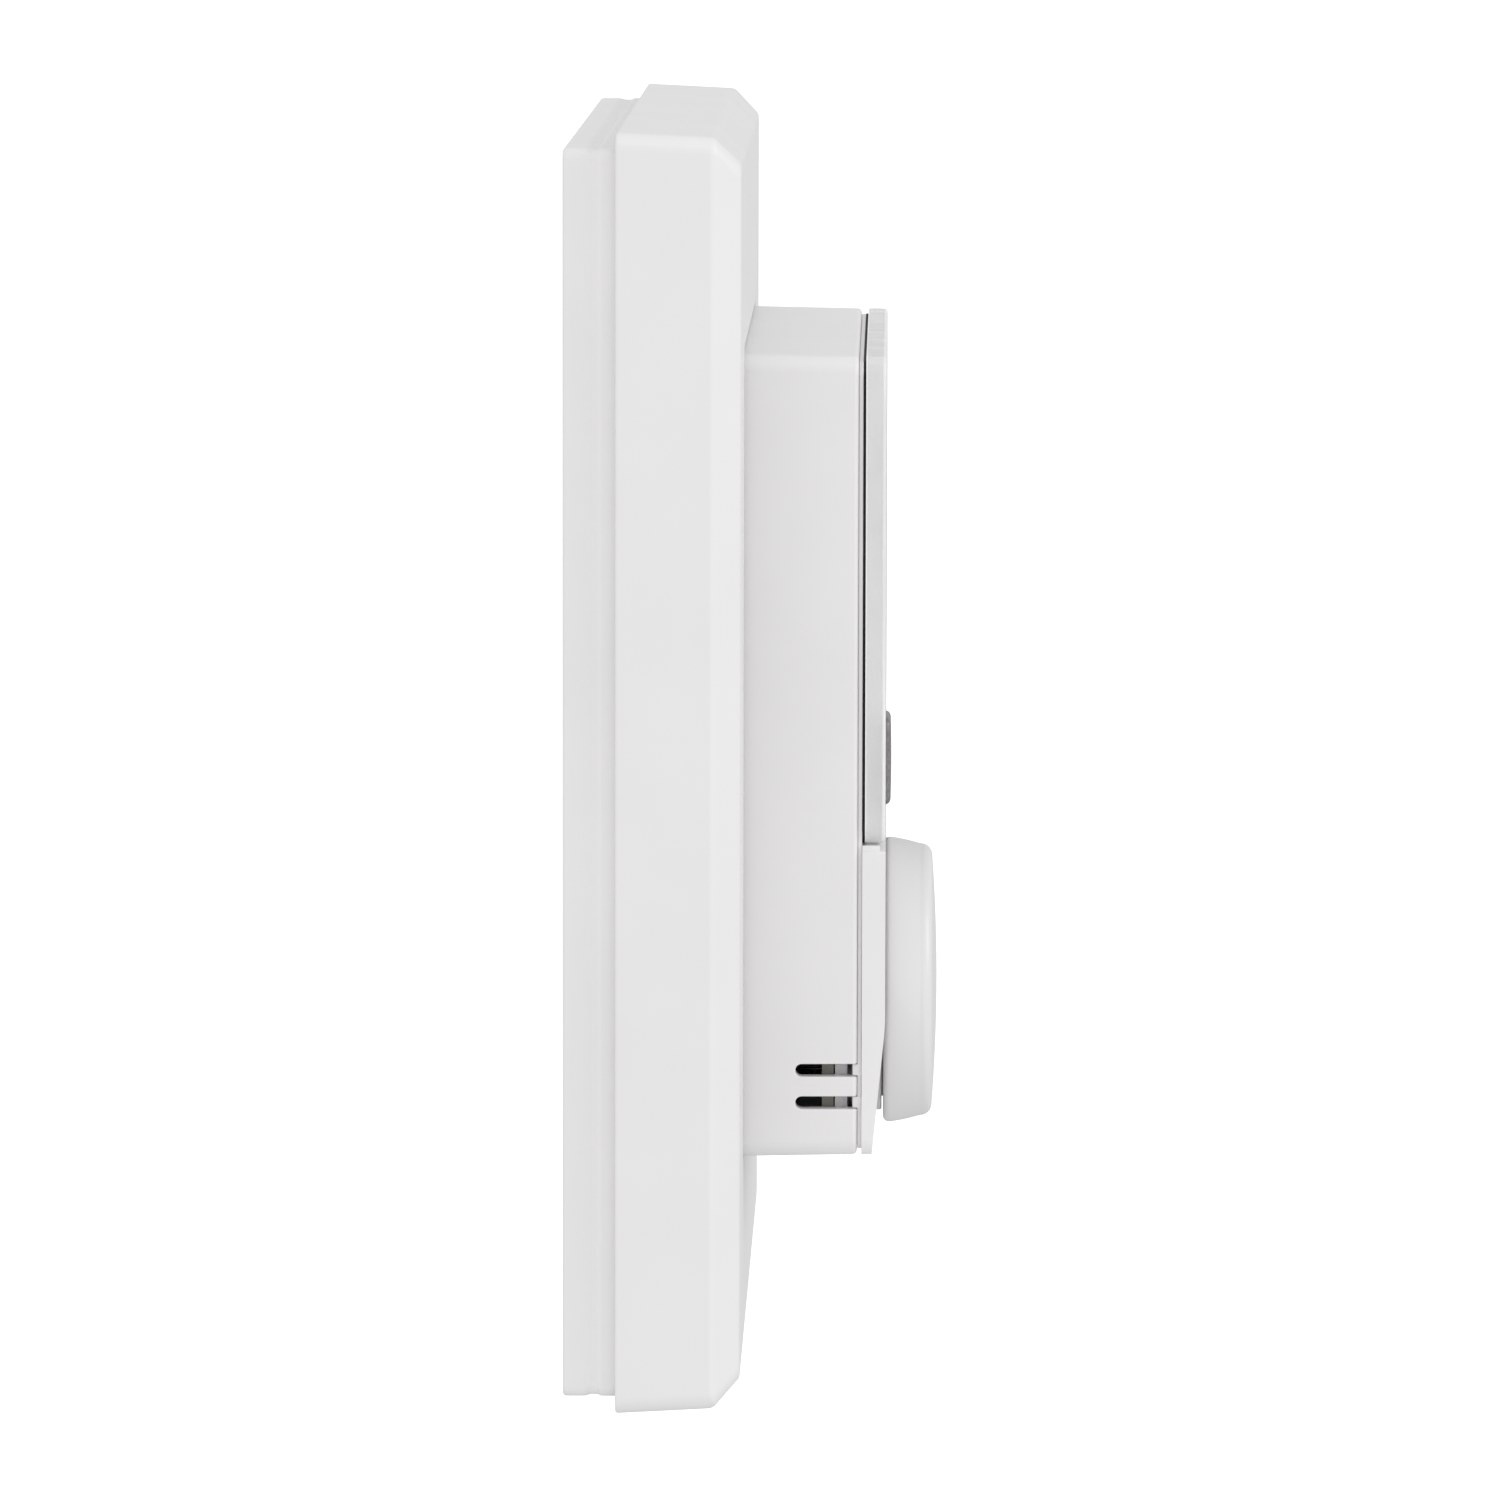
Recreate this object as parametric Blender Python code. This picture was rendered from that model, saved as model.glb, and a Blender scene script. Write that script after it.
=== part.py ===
"""Programmable timer for heating, ventilation and boilers.

A wall box and a square frame carry a plug-on front module with a display, a push-button and a knob
that turns and pushes. Sizes are in millimetres here and become metres when a mesh is made.
X runs right as seen from the front and Z runs up. Depth is counted outwards from the wall, so a
depth d lies at y = -d. The origin is the centre of the wall face."""

import math

import bmesh
import bpy

METRES = 0.001

# Clearances
REST_GAP = 0.3          # between pieces that rest on each other
FINE_GAP = 0.1          # in the thin stack of display parts

# Wall box
BOX_SIDE = 82.9
BOX_STEP = 3.2          # depth of the visible band
BOX_FLOOR = 2.0
BOX_RIM_SIDE = 81.2
BOX_INNER_SIDE = 78.6
BOX_RIM_DEPTH = 9.0
BOX_CORNER = 0.75
POST_PITCH = 60.0
POST_RADIUS = 3.6
POST_DEPTH = 6.9
CABLE_HOLE = (22.0, 11.0)
CABLE_HOLE_Z = -31.0
WALL_SLOT_X = 33.0
WALL_SLOT = (4.4, 9.0)
BOARD_POST_RADIUS = 2.6
BOARD_REST_Z = 20.6     # height of the two board posts that take no screw
CUT_OVERRUN = 1.0       # how far a cutter passes the face that it opens
JOIN_DEPTH = 0.5        # how far an added piece sinks into the piece that it joins

# Frame
FRAME_SIDE = 85.0
FRAME_BACK = 3.5
FRAME_SHOULDER = 9.95
FRAME_FRONT = 11.75
FRAME_DRAFT = 0.3
FRAME_CHAMFER = 1.8
FRAME_CORNER = 1.2
FRAME_INNER_SIDE = 82.0
FRAME_ROOF = 10.15
FRAME_OPENING = 55.1
FRAME_COLLAR_SIDE = 56.9
FRAME_COLLAR_BACK = 8.8
FRAME_HOOK_X = (34.6, 36.0, 37.0)
FRAME_HOOK_HALF = 4.0

# Support plate
PLATE_SIDE = 71.0
PLATE_DEPTHS = (7.2, 8.2)
PLATE_OPENING = 52.4
LUG_X = (24.4, 25.4, 27.5)
LUG_HALF_HEIGHT = 7.0
LUG_FRONT = 12.5
SUPPORT_SLOT = (6.4, 3.4)

# Front module
MODULE_SIDE = 54.2      # side of the square front
MODULE_Z = -0.25        # the module hangs this far below the frame's centre
CASING_BACK_SIDE = 54.6
CASING_INNER_SIDE = 51.6
CASING_DEPTHS = (8.5, 19.45)
MODULE_CORNER = 1.15
BOARD_SIDE = 50.8       # control board, display holder and rear cover
REAR_COVER_DEPTHS = (13.9, 15.1)
CONTROL_BOARD_DEPTHS = (17.07, 17.85)
HOLDER_DEPTHS = (17.95, 18.78)
CARRIER_DEPTHS = (19.1, 19.72)
CARRIER_LIP = 19.55
CARRIER_LIP_SIDE = 53.4
GASKET_DEPTHS = (19.78, 19.9)
GASKET_INSET = 0.35
LENS_DEPTHS = (19.98, 21.32)
LENS_BOTTOM = -6.1
LOWER_PLATE_DEPTHS = (19.82, 21.33)
LOWER_PLATE_TOP = -6.6
RIDGE_TOP = -6.2        # of the lower plate's low ridge under the lens
RIDGE_SIDE = 53.9
RIDGE_FRONT = 20.93
SLOPE_TOP = -18.0
SLOPE_DROP = 0.88       # how far the lower plate falls back at its bottom edge
VENT_HEIGHTS = (-21.49, -23.7)
VENT_WIDTH = 0.86
VENT_BACK = 15.27
VENT_TAB = 0.7          # height of the carrier's tab that closes each vent's mouth
VENT_TAB_X = (25.2, 26.75)
LEDGE_X = (24.9, 26.2)
LEDGE_AT = 10.0
LEDGE_HALF = 3.0
MODULE_SCREW = (22.6, -22.9)
MODULE_SCREW_HOLE = 1.15

# Display
LCD_SIZE = (46.0, 20.2)
LCD_Z = 14.2
LCD_DEPTHS = (19.05, 19.7)

# Controls
KNOB_AT = (-14.0, -16.95)
KNOB_BASE = 21.2
KNOB_BASE_ROUND = 0.4
KNOB_RADIUS = 9.82
KNOB_RIM_RADIUS = 9.37
KNOB_RIM = 23.76
KNOB_RIM_ROUND = 0.79
KNOB_SIDE_CURVE = 1.38  # exponent of the side's narrowing towards the rim
KNOB_FRONT = 24.87
KNOB_ROOF = 23.6        # depth of the hollow behind the dome
NECK_RADIUS = 9.0
POCKET_RADII = (9.45, 10.25)
POCKET_FLOOR = 20.7
SHAFT_RADIUS = 3.0
SHAFT_DEPTHS = (17.9, 22.9)
SHAFT_FLAT = 2.1
ENCODER_SIDE = 11.0
ENCODER_DEPTHS = (15.4, 18.9)
BUTTON_AT = (-14.0, -1.58)
BUTTON_SIDE = 6.05
BUTTON_HOLE = 6.45
BUTTON_FLANGE = 7.4
BUTTON_FLANGE_BACK = 19.2
BUTTON_FRONT = 21.7
SWITCH_FRONT = 18.5
SWITCH_PLUNGER_DEPTHS = (18.25, 18.95)

# Power side
POWER_BOARD_DEPTHS = (3.3, 4.9)
POWER_BOARD_X = 23.0
POWER_BOARD_Z = (-20.5, 24.0)
POWER_FOOT = POWER_BOARD_DEPTHS[1] + REST_GAP
POWER_COVER_X = 22.0
POWER_COVER_Z = (-8.0, 23.5)
POWER_COVER_FRONT = 13.6
POWER_COVER_WALL = 0.9
BOARD_SCREW = (20.6, -10.6)
RELAY = ((20.0, 10.0), (10.5, -1.5), 12.4)              # size, centre and front depth
MAINS_CAPACITOR = ((12.0, 6.0), (-14.2, -3.5), 12.0)
FUSE = (3.5, (-3.9, -3.2), 12.0)                        # radius, centre and front depth
VARISTOR_RADIUS = 3.4
VARISTOR_AT = 5.6
VARISTOR_X = (-20.3, -17.3)
CORE_X = (-14.0, 1.0)
CORE_DEPTHS = (6.4, 11.2)
CORE_Z = (4.2, 14.6)
CORE_WINDOWS_X = ((-12.2, -8.9), (-4.1, -0.8))
CORE_WINDOW_Z = (6.4, 12.4)
COIL_AT = (-6.5, 8.8)
COIL_Z = (6.7, 12.1)
CAN_RADIUS = 3.1
CAN_FRONT = 12.3
CANS_X = (7.8, 15.4)
CANS_Z = 9.2
PLUG_Z = 18.0
PLUG_HALF_WIDTH = 8.2
PLUG_WINDOW = (17.6, 4.4)
PIN_COUNT = 6
PIN_PITCH = 2.54
POLE_COUNT = 4
POLE_PITCH = 7.5
TERMINAL_Z = (-20.2, -13.2)
TERMINAL_FRONT = 12.6
TERMINAL_WELL = 9.6
CAGE_DEPTHS = (6.5, 9.7)
CAGE_HALF = 1.6
CAGE_WALL = 0.5

# Colour, roughness and metallic value of each material
PALETTE = {
    "white_plastic": ((0.86, 0.86, 0.86), 0.42, 0.0),
    "light_plastic": ((0.62, 0.63, 0.64), 0.50, 0.0),
    "grey_plastic": ((0.34, 0.35, 0.36), 0.50, 0.0),
    "black_plastic": ((0.02, 0.02, 0.02), 0.55, 0.0),
    "silver_paint": ((0.42, 0.42, 0.42), 0.38, 0.35),
    "clear_acrylic": ((0.80, 0.82, 0.83), 0.08, 0.0),
    "glass": ((0.30, 0.36, 0.33), 0.10, 0.0),
    "diffuser": ((0.88, 0.88, 0.84), 0.35, 0.0),
    "black_foam": ((0.01, 0.01, 0.01), 0.90, 0.0),
    "dark_rubber": ((0.05, 0.05, 0.06), 0.80, 0.0),
    "zinc_steel": ((0.60, 0.61, 0.63), 0.35, 1.0),
    "brass": ((0.66, 0.50, 0.22), 0.32, 1.0),
    "dark_board": ((0.03, 0.05, 0.05), 0.45, 0.0),
    "green_board": ((0.03, 0.20, 0.09), 0.45, 0.0),
    "relay_blue": ((0.05, 0.16, 0.42), 0.45, 0.0),
    "film_yellow": ((0.72, 0.55, 0.10), 0.50, 0.0),
    "varistor_blue": ((0.04, 0.14, 0.36), 0.40, 0.0),
    "ferrite": ((0.05, 0.05, 0.05), 0.60, 0.0),
    "copper": ((0.60, 0.26, 0.12), 0.35, 1.0),
    "terminal_green": ((0.06, 0.30, 0.16), 0.50, 0.0),
}


# ---------------------------------------------------------------- outlines

def rounded_rectangle(width, height, radius, centre=(0.0, 0.0), steps=5):
    """Points (x, z) of a rectangle with round corners, anticlockwise."""
    points = []
    corners = ((1, 1, 0), (-1, 1, 90), (-1, -1, 180), (1, -1, 270))
    for side_x, side_z, start in corners:
        corner_x = centre[0] + side_x * (width / 2 - radius)
        corner_z = centre[1] + side_z * (height / 2 - radius)
        points += arc((corner_x, corner_z), radius, start, start + 90, steps)
    return points


def rounded_square(side, radius, centre=(0.0, 0.0), steps=5):
    return rounded_rectangle(side, side, radius, centre, steps)


def module_square(side, radius, steps=5):
    return rounded_square(side, radius, (0.0, MODULE_Z), steps)


def arc(centre, radius, start, end, steps):
    """Points along an arc, its angles in degrees."""
    angles = [math.radians(start + (end - start) * step / steps) for step in range(steps + 1)]
    return [(centre[0] + radius * math.cos(angle), centre[1] + radius * math.sin(angle))
            for angle in angles]


def circle(radius, centre=(0.0, 0.0), steps=32):
    return arc(centre, radius, 0, 360, steps)[:-1]


def strip(path, thickness):
    """Closed outline of a bent strip whose right-hand side follows the path."""
    other_side = []
    for index, point in enumerate(path):
        before = path[max(index - 1, 0)]
        after = path[min(index + 1, len(path) - 1)]
        along = (after[0] - before[0], after[1] - before[1])
        length = math.hypot(*along)
        other_side.append((point[0] - along[1] / length * thickness,
                           point[1] + along[0] / length * thickness))
    return path + other_side[::-1]


def span(half):
    return (-half, half)


# ---------------------------------------------------------------- solids

class Shape:
    """A closed mesh being put together from points (x, depth, z) in millimetres."""

    def __init__(self):
        self.mesh = bmesh.new()

    def vertex(self, x, depth, z):
        return self.mesh.verts.new((x * METRES, -depth * METRES, z * METRES))

    def skin(self, rings, closed=False):
        """Joins rings of points by faces, and caps both ends unless the rings close on themselves."""
        rows = [[self.vertex(*point) for point in ring] for ring in rings]
        pairs = list(zip(rows, rows[1:]))
        if closed:
            pairs.append((rows[-1], rows[0]))
        for one, other in pairs:
            count = max(len(one), len(other))
            for index in range(count):
                following = (index + 1) % count
                corners = [one[index % len(one)], one[following % len(one)],
                           other[following % len(other)], other[index % len(other)]]
                self.mesh.faces.new(list(dict.fromkeys(corners)))
        if not closed:
            for row in (rows[0], rows[-1]):
                if len(row) > 2:
                    self.mesh.faces.new(row)
        return self

    def loft(self, *sections):
        """Sections of (outline in x and z, depth), from one end to the other."""
        return self.skin([[(x, depth, z) for x, z in outline] for outline, depth in sections])

    def ring(self, *sections):
        """A loft that closes on itself, round an opening."""
        return self.skin([[(x, depth, z) for x, z in outline] for outline, depth in sections],
                         closed=True)

    def prism(self, outline, depths):
        return self.loft((outline, depths[0]), (outline, depths[1]))

    def box(self, x, depths, z):
        return self.prism([(x[0], z[0]), (x[1], z[0]), (x[1], z[1]), (x[0], z[1])], depths)

    def side_prism(self, outline, x):
        """Outline of (depth, z) points, drawn out along X."""
        return self.skin([[(place, depth, z) for depth, z in outline] for place in x])

    def level_prism(self, outline, z):
        """Outline of (x, depth) points, drawn out along Z."""
        return self.skin([[(x, depth, place) for x, depth in outline] for place in z])

    def level_ring(self, inside, outside, z):
        """Tube between two outlines of (x, depth) points, drawn out along Z."""
        rows = ((inside, z[0]), (outside, z[0]), (outside, z[1]), (inside, z[1]))
        return self.skin([[(x, depth, place) for x, depth in outline] for outline, place in rows],
                         closed=True)

    def turned(self, profile, centre, steps=24, closed=False):
        """Profile of (radius, depth) points, turned about the line through centre (x, z)."""
        rings = []
        for radius, depth in profile:
            if radius == 0:
                rings.append([(centre[0], depth, centre[1])])
            else:
                rings.append([(x, depth, z) for x, z in circle(radius, centre, steps)])
        return self.skin(rings, closed)

    def cylinder(self, radius, centre, depths, steps=16):
        return self.prism(circle(radius, centre, steps), depths)

    def finish(self, name, origin):
        """The object made from this mesh, with its own origin at a point in millimetres."""
        shift = [-origin[0] * METRES, origin[1] * METRES, -origin[2] * METRES]
        bmesh.ops.translate(self.mesh, vec=shift, verts=self.mesh.verts)
        bmesh.ops.recalc_face_normals(self.mesh, faces=self.mesh.faces)
        data = bpy.data.meshes.new(name)
        self.mesh.to_mesh(data)
        self.mesh.free()
        data.shade_smooth()
        data.set_sharp_from_angle(angle=math.radians(32))
        piece = bpy.data.objects.new(name, data)
        piece.location = [-value for value in shift]
        bpy.context.scene.collection.objects.link(piece)
        return piece


def clear_scene():
    for old in list(bpy.data.objects):
        bpy.data.objects.remove(old, do_unlink=True)


def make_material(name):
    colour, roughness, metallic = PALETTE[name]
    made = bpy.data.materials.new(name)
    made.use_nodes = True
    shader = made.node_tree.nodes["Principled BSDF"]
    shader.inputs["Base Color"].default_value = (*colour, 1.0)
    shader.inputs["Roughness"].default_value = roughness
    shader.inputs["Metallic"].default_value = metallic
    if name in ("clear_acrylic", "glass"):
        shader.inputs["Transmission Weight"].default_value = 0.85
    return made


def make(name, shape, finish, add=(), cut=(), axis=None):
    """A named piece with its own material. Shapes in add are joined to it, then those in cut come off."""
    origin = axis["place"] if axis else (0.0, 0.0, 0.0)
    piece = shape.finish(name, origin)
    material = make_material(finish)
    material.name = name + "_" + finish
    piece.data.materials.append(material)
    steps = [("UNION", helper) for helper in add] + [("DIFFERENCE", helper) for helper in cut]
    for number, (operation, helper_shape) in enumerate(steps, start=1):
        helper = helper_shape.finish(f"helper_{number}_{name}", (0.0, 0.0, 0.0))
        helper.hide_render = True
        helper.display_type = "WIRE"
        modifier = piece.modifiers.new(operation.lower(), "BOOLEAN")
        modifier.operation = operation
        modifier.solver = "EXACT"
        modifier.object = helper
    if axis:
        piece.parent = axis["empty"]
        piece.location = (0.0, 0.0, 0.0)
    return piece


def make_axis(name, x, depth, z, under=None):
    """An empty on a joint's axis. Pieces that move on the joint are parented to it."""
    empty = bpy.data.objects.new(name, None)
    empty.empty_display_size = 3 * METRES
    place = (x, depth, z)
    parent_place = under["place"] if under else (0.0, 0.0, 0.0)
    empty.location = ((x - parent_place[0]) * METRES, (parent_place[1] - depth) * METRES,
                      (z - parent_place[2]) * METRES)
    if under:
        empty.parent = under["empty"]
    bpy.context.scene.collection.objects.link(empty)
    return {"empty": empty, "place": place}


def four_corners(half):
    return [(x, z) for x in (-half, half) for z in (-half, half)]


def both_sides(place):
    return [(-place[0], place[1]), (place[0], place[1])]


def make_screws(name, places, head_radius, under_head, head_front, shank_radius, tip):
    """One screw at each place, with a socket in its head. A head may face either way."""
    outward = 1 if head_front > under_head else -1
    height = abs(head_front - under_head)
    socket_radius = 0.35 * head_radius
    edge = 0.15 * head_radius
    profile = [(0, head_front - outward * 0.5 * height),
               (socket_radius, head_front - outward * 0.5 * height), (socket_radius, head_front),
               (head_radius - edge, head_front), (head_radius, head_front - outward * edge),
               (head_radius, under_head), (shank_radius, under_head),
               (shank_radius, tip + outward * shank_radius), (0, tip)]
    for number, place in enumerate(places, start=1):
        make(f"{name}_{number}", Shape().turned(profile, place, steps=12), "zinc_steel")


# ---------------------------------------------------------------- wall side

def make_back_box():
    outer = rounded_square(BOX_SIDE, BOX_CORNER)
    rim = rounded_square(BOX_RIM_SIDE, BOX_CORNER)
    inner = rounded_square(BOX_INNER_SIDE, BOX_CORNER)
    tray = Shape().loft((outer, 0), (outer, BOX_STEP), (rim, BOX_STEP), (rim, BOX_RIM_DEPTH),
                        (inner, BOX_RIM_DEPTH), (inner, BOX_FLOOR))
    floor_sunk = BOX_FLOOR - JOIN_DEPTH
    board_seat = POWER_BOARD_DEPTHS[0] - REST_GAP
    bosses = Shape()
    holes = Shape()
    for place in four_corners(POST_PITCH / 2):
        bosses.cylinder(POST_RADIUS, place, (floor_sunk, POST_DEPTH), steps=20)
        holes.cylinder(1.35, place, (2.8, POST_DEPTH + CUT_OVERRUN), steps=12)
    for place in both_sides(BOARD_SCREW) + both_sides((BOARD_SCREW[0], BOARD_REST_Z)):
        bosses.cylinder(BOARD_POST_RADIUS, place, (floor_sunk, board_seat))
    for place in both_sides(BOARD_SCREW):
        holes.cylinder(0.95, place, (0.8, board_seat + CUT_OVERRUN), steps=12)
    for side in (-WALL_SLOT_X, WALL_SLOT_X):
        slot = rounded_rectangle(*WALL_SLOT, WALL_SLOT[0] / 2 - 0.01, (side, 0))
        holes.prism(slot, (-CUT_OVERRUN, BOX_FLOOR + CUT_OVERRUN))
    cable_hole = rounded_rectangle(*CABLE_HOLE, 3.0, (0, CABLE_HOLE_Z))
    holes.prism(cable_hole, (-CUT_OVERRUN, BOX_FLOOR + CUT_OVERRUN))
    make("back_box", tray, "white_plastic", add=[bosses], cut=[holes])


def make_support_plate():
    outside = rounded_square(PLATE_SIDE, 4.0)
    inside = rounded_square(PLATE_OPENING, 2.0)
    back, front = PLATE_DEPTHS
    plate = Shape().ring((outside, back), (outside, front), (inside, front), (inside, back))
    lugs = Shape()
    holes = Shape()
    inner, bend, outer = LUG_X
    for side in (-1, 1):
        outline = [(side * inner, back), (side * outer, back), (side * outer, front),
                   (side * bend, front), (side * bend, LUG_FRONT), (side * inner, LUG_FRONT)]
        lugs.level_prism(outline, span(LUG_HALF_HEIGHT))
    for place in four_corners(POST_PITCH / 2):
        slot = rounded_rectangle(*SUPPORT_SLOT, SUPPORT_SLOT[1] / 2 - 0.01, place)
        holes.prism(slot, (back - CUT_OVERRUN, front + CUT_OVERRUN))
    make("support_plate", plate, "zinc_steel", add=[lugs], cut=[holes])
    under_head = front + REST_GAP
    make_screws("support_screw", four_corners(POST_PITCH / 2), 2.6, under_head, under_head + 1.3,
                1.05, 3.2)


def make_frame_cover():
    shoulder_side = FRAME_SIDE - 2 * FRAME_DRAFT
    front_side = shoulder_side - 2 * FRAME_CHAMFER
    inner = rounded_square(FRAME_INNER_SIDE, FRAME_CORNER)
    shell = Shape().loft(
        (inner, FRAME_ROOF), (inner, FRAME_BACK),
        (rounded_square(FRAME_SIDE, FRAME_CORNER), FRAME_BACK),
        (rounded_square(shoulder_side, FRAME_CORNER), FRAME_SHOULDER),
        (rounded_square(front_side, FRAME_CORNER * 0.8), FRAME_FRONT))
    joined = FRAME_ROOF + JOIN_DEPTH
    collar = module_square(FRAME_COLLAR_SIDE, 2.6)
    parts = Shape().prism(collar, (FRAME_COLLAR_BACK, joined))
    hook_back = PLATE_DEPTHS[0] - REST_GAP
    tip, bend, outer_face = FRAME_HOOK_X
    for side in (-1, 1):
        hook = [(side * tip, hook_back - 0.7), (side * outer_face, hook_back - 0.7),
                (side * outer_face, joined), (side * bend, joined),
                (side * bend, hook_back), (side * tip, hook_back)]
        parts.level_prism(hook, span(FRAME_HOOK_HALF))
    opening = Shape().prism(module_square(FRAME_OPENING, 1.4),
                            (FRAME_COLLAR_BACK - CUT_OVERRUN, FRAME_FRONT + CUT_OVERRUN))
    make("frame_cover", shell, "white_plastic", add=[parts], cut=[opening])


def make_power_board():
    board = Shape().box(span(POWER_BOARD_X), POWER_BOARD_DEPTHS, POWER_BOARD_Z)
    holes = Shape()
    for place in both_sides(BOARD_SCREW):
        holes.cylinder(1.1, place, (2, 6), steps=12)
    make("power_board", board, "green_board", cut=[holes])
    make_screws("board_screw", both_sides(BOARD_SCREW), 2.0, POWER_FOOT, POWER_FOOT + 1.1, 0.75,
                1.1)


def make_power_parts():
    foot = POWER_FOOT
    cut_depths = (foot - CUT_OVERRUN, CORE_DEPTHS[1] + CUT_OVERRUN)
    (size, centre, front) = RELAY
    make("relay", Shape().prism(rounded_rectangle(*size, 0.6, centre, 2), (foot, front)),
         "relay_blue")
    (size, centre, front) = MAINS_CAPACITOR
    make("mains_capacitor", Shape().prism(rounded_rectangle(*size, 0.5, centre, 2), (foot, front)),
         "film_yellow")
    (radius, centre, front) = FUSE
    make("fuse", Shape().cylinder(radius, centre, (foot, front), steps=20), "black_plastic")
    disc = circle(VARISTOR_RADIUS, (foot + VARISTOR_RADIUS + FINE_GAP, VARISTOR_AT), 20)
    make("varistor", Shape().side_prism(disc, VARISTOR_X), "varistor_blue")
    windows = Shape()
    for reach in CORE_WINDOWS_X:
        windows.box(reach, cut_depths, CORE_WINDOW_Z)
    make("transformer_core", Shape().box(CORE_X, CORE_DEPTHS, CORE_Z), "ferrite", cut=[windows])
    around_leg = rounded_rectangle(5.4, 5.4, 0.5, COIL_AT, 2)
    winding = rounded_rectangle(10.8, 7.0, 1.0, COIL_AT, 2)
    make("transformer_coil", Shape().level_ring(around_leg, winding, COIL_Z), "copper")
    edge = 0.3
    can = [(0, foot), (CAN_RADIUS, foot), (CAN_RADIUS, CAN_FRONT - edge),
           (CAN_RADIUS - edge, CAN_FRONT), (0, CAN_FRONT)]
    for number, x in enumerate(CANS_X, start=1):
        make(f"smoothing_capacitor_{number}", Shape().turned(can, (x, CANS_Z), 20), "zinc_steel")


def plug_window(depths):
    """Cutter for the opening that the header and its socket pass through."""
    return Shape().prism(rounded_rectangle(*PLUG_WINDOW, 0.01, (0, PLUG_Z), 1), depths)


def make_power_cover():
    bottom, top = POWER_COVER_Z
    wall = POWER_COVER_WALL
    middle = (bottom + top) / 2
    outer = rounded_rectangle(2 * POWER_COVER_X, top - bottom, 1.2, (0, middle), 3)
    inner = rounded_rectangle(2 * (POWER_COVER_X - wall), top - bottom - 2 * wall, 0.6,
                              (0, middle), 3)
    shell = Shape().loft((inner, POWER_COVER_FRONT - wall), (inner, POWER_FOOT),
                         (outer, POWER_FOOT), (outer, POWER_COVER_FRONT))
    window = plug_window((POWER_COVER_FRONT - 2, POWER_COVER_FRONT + CUT_OVERRUN))
    make("power_cover", shell, "light_plastic", cut=[window])


def pole_places():
    first = -(POLE_COUNT - 1) / 2 * POLE_PITCH
    return [first + index * POLE_PITCH for index in range(POLE_COUNT)]


def make_terminals():
    bottom = TERMINAL_Z[0]
    middle = bottom + 3.0
    hollow_depths = (CAGE_DEPTHS[0] - 0.4, CAGE_DEPTHS[1] + JOIN_DEPTH)
    block = Shape().box(span(POLE_COUNT * POLE_PITCH / 2), (POWER_FOOT, TERMINAL_FRONT), TERMINAL_Z)
    hollows = Shape()
    for x in pole_places():
        hollows.box((x - 2.0, x + 2.0), hollow_depths, (bottom - CUT_OVERRUN, bottom + 5.3))
    wells = Shape()
    for number, x in enumerate(pole_places(), start=1):
        wells.cylinder(2.0, (x, middle), (TERMINAL_WELL, TERMINAL_FRONT + CUT_OVERRUN), steps=16)
        outside = cage_outline(x, CAGE_HALF, 0)
        bore = cage_outline(x, CAGE_HALF - CAGE_WALL, CAGE_WALL)
        cage = Shape().level_ring(bore, outside, (bottom + 0.6, bottom + 4.8))
        make(f"terminal_cage_{number}", cage, "brass")
    make("terminal_block", block, "terminal_green", cut=[hollows, wells])
    places = [(x, middle) for x in pole_places()]
    make_screws("terminal_screw", places, 1.7, 11.0, 12.3, 1.1, 10.0)


def cage_outline(x, half, wall):
    """Points (x, depth) of a terminal cage, drawn in by a wall from its back and front."""
    back, front = CAGE_DEPTHS[0] + wall, CAGE_DEPTHS[1] - wall
    return [(x - half, back), (x + half, back), (x + half, front), (x - half, front)]


def make_plug():
    header = Shape().box(span(PLUG_HALF_WIDTH - 0.2), (POWER_FOOT, 7.6),
                         (PLUG_Z - 1.3, PLUG_Z + 1.3))
    pins = Shape()
    half_pin = 0.32
    for index in range(PIN_COUNT):
        x = (index - (PIN_COUNT - 1) / 2) * PIN_PITCH
        pins.box((x - half_pin, x + half_pin), (7.0, 14.2),
                 (PLUG_Z - half_pin, PLUG_Z + half_pin))
    make("board_header", header, "black_plastic", add=[pins])
    back, front = 9.0, CONTROL_BOARD_DEPTHS[0] - REST_GAP
    outer = rounded_rectangle(2 * PLUG_HALF_WIDTH, 3.2, 0.3, (0, PLUG_Z), 2)
    inner = rounded_rectangle(2 * PLUG_HALF_WIDTH - 1.6, 1.6, 0.2, (0, PLUG_Z), 2)
    socket = Shape().loft((outer, front), (outer, back), (inner, back), (inner, front - 1.2))
    make("header_socket", socket, "black_plastic")


# ---------------------------------------------------------------- front module

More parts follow.
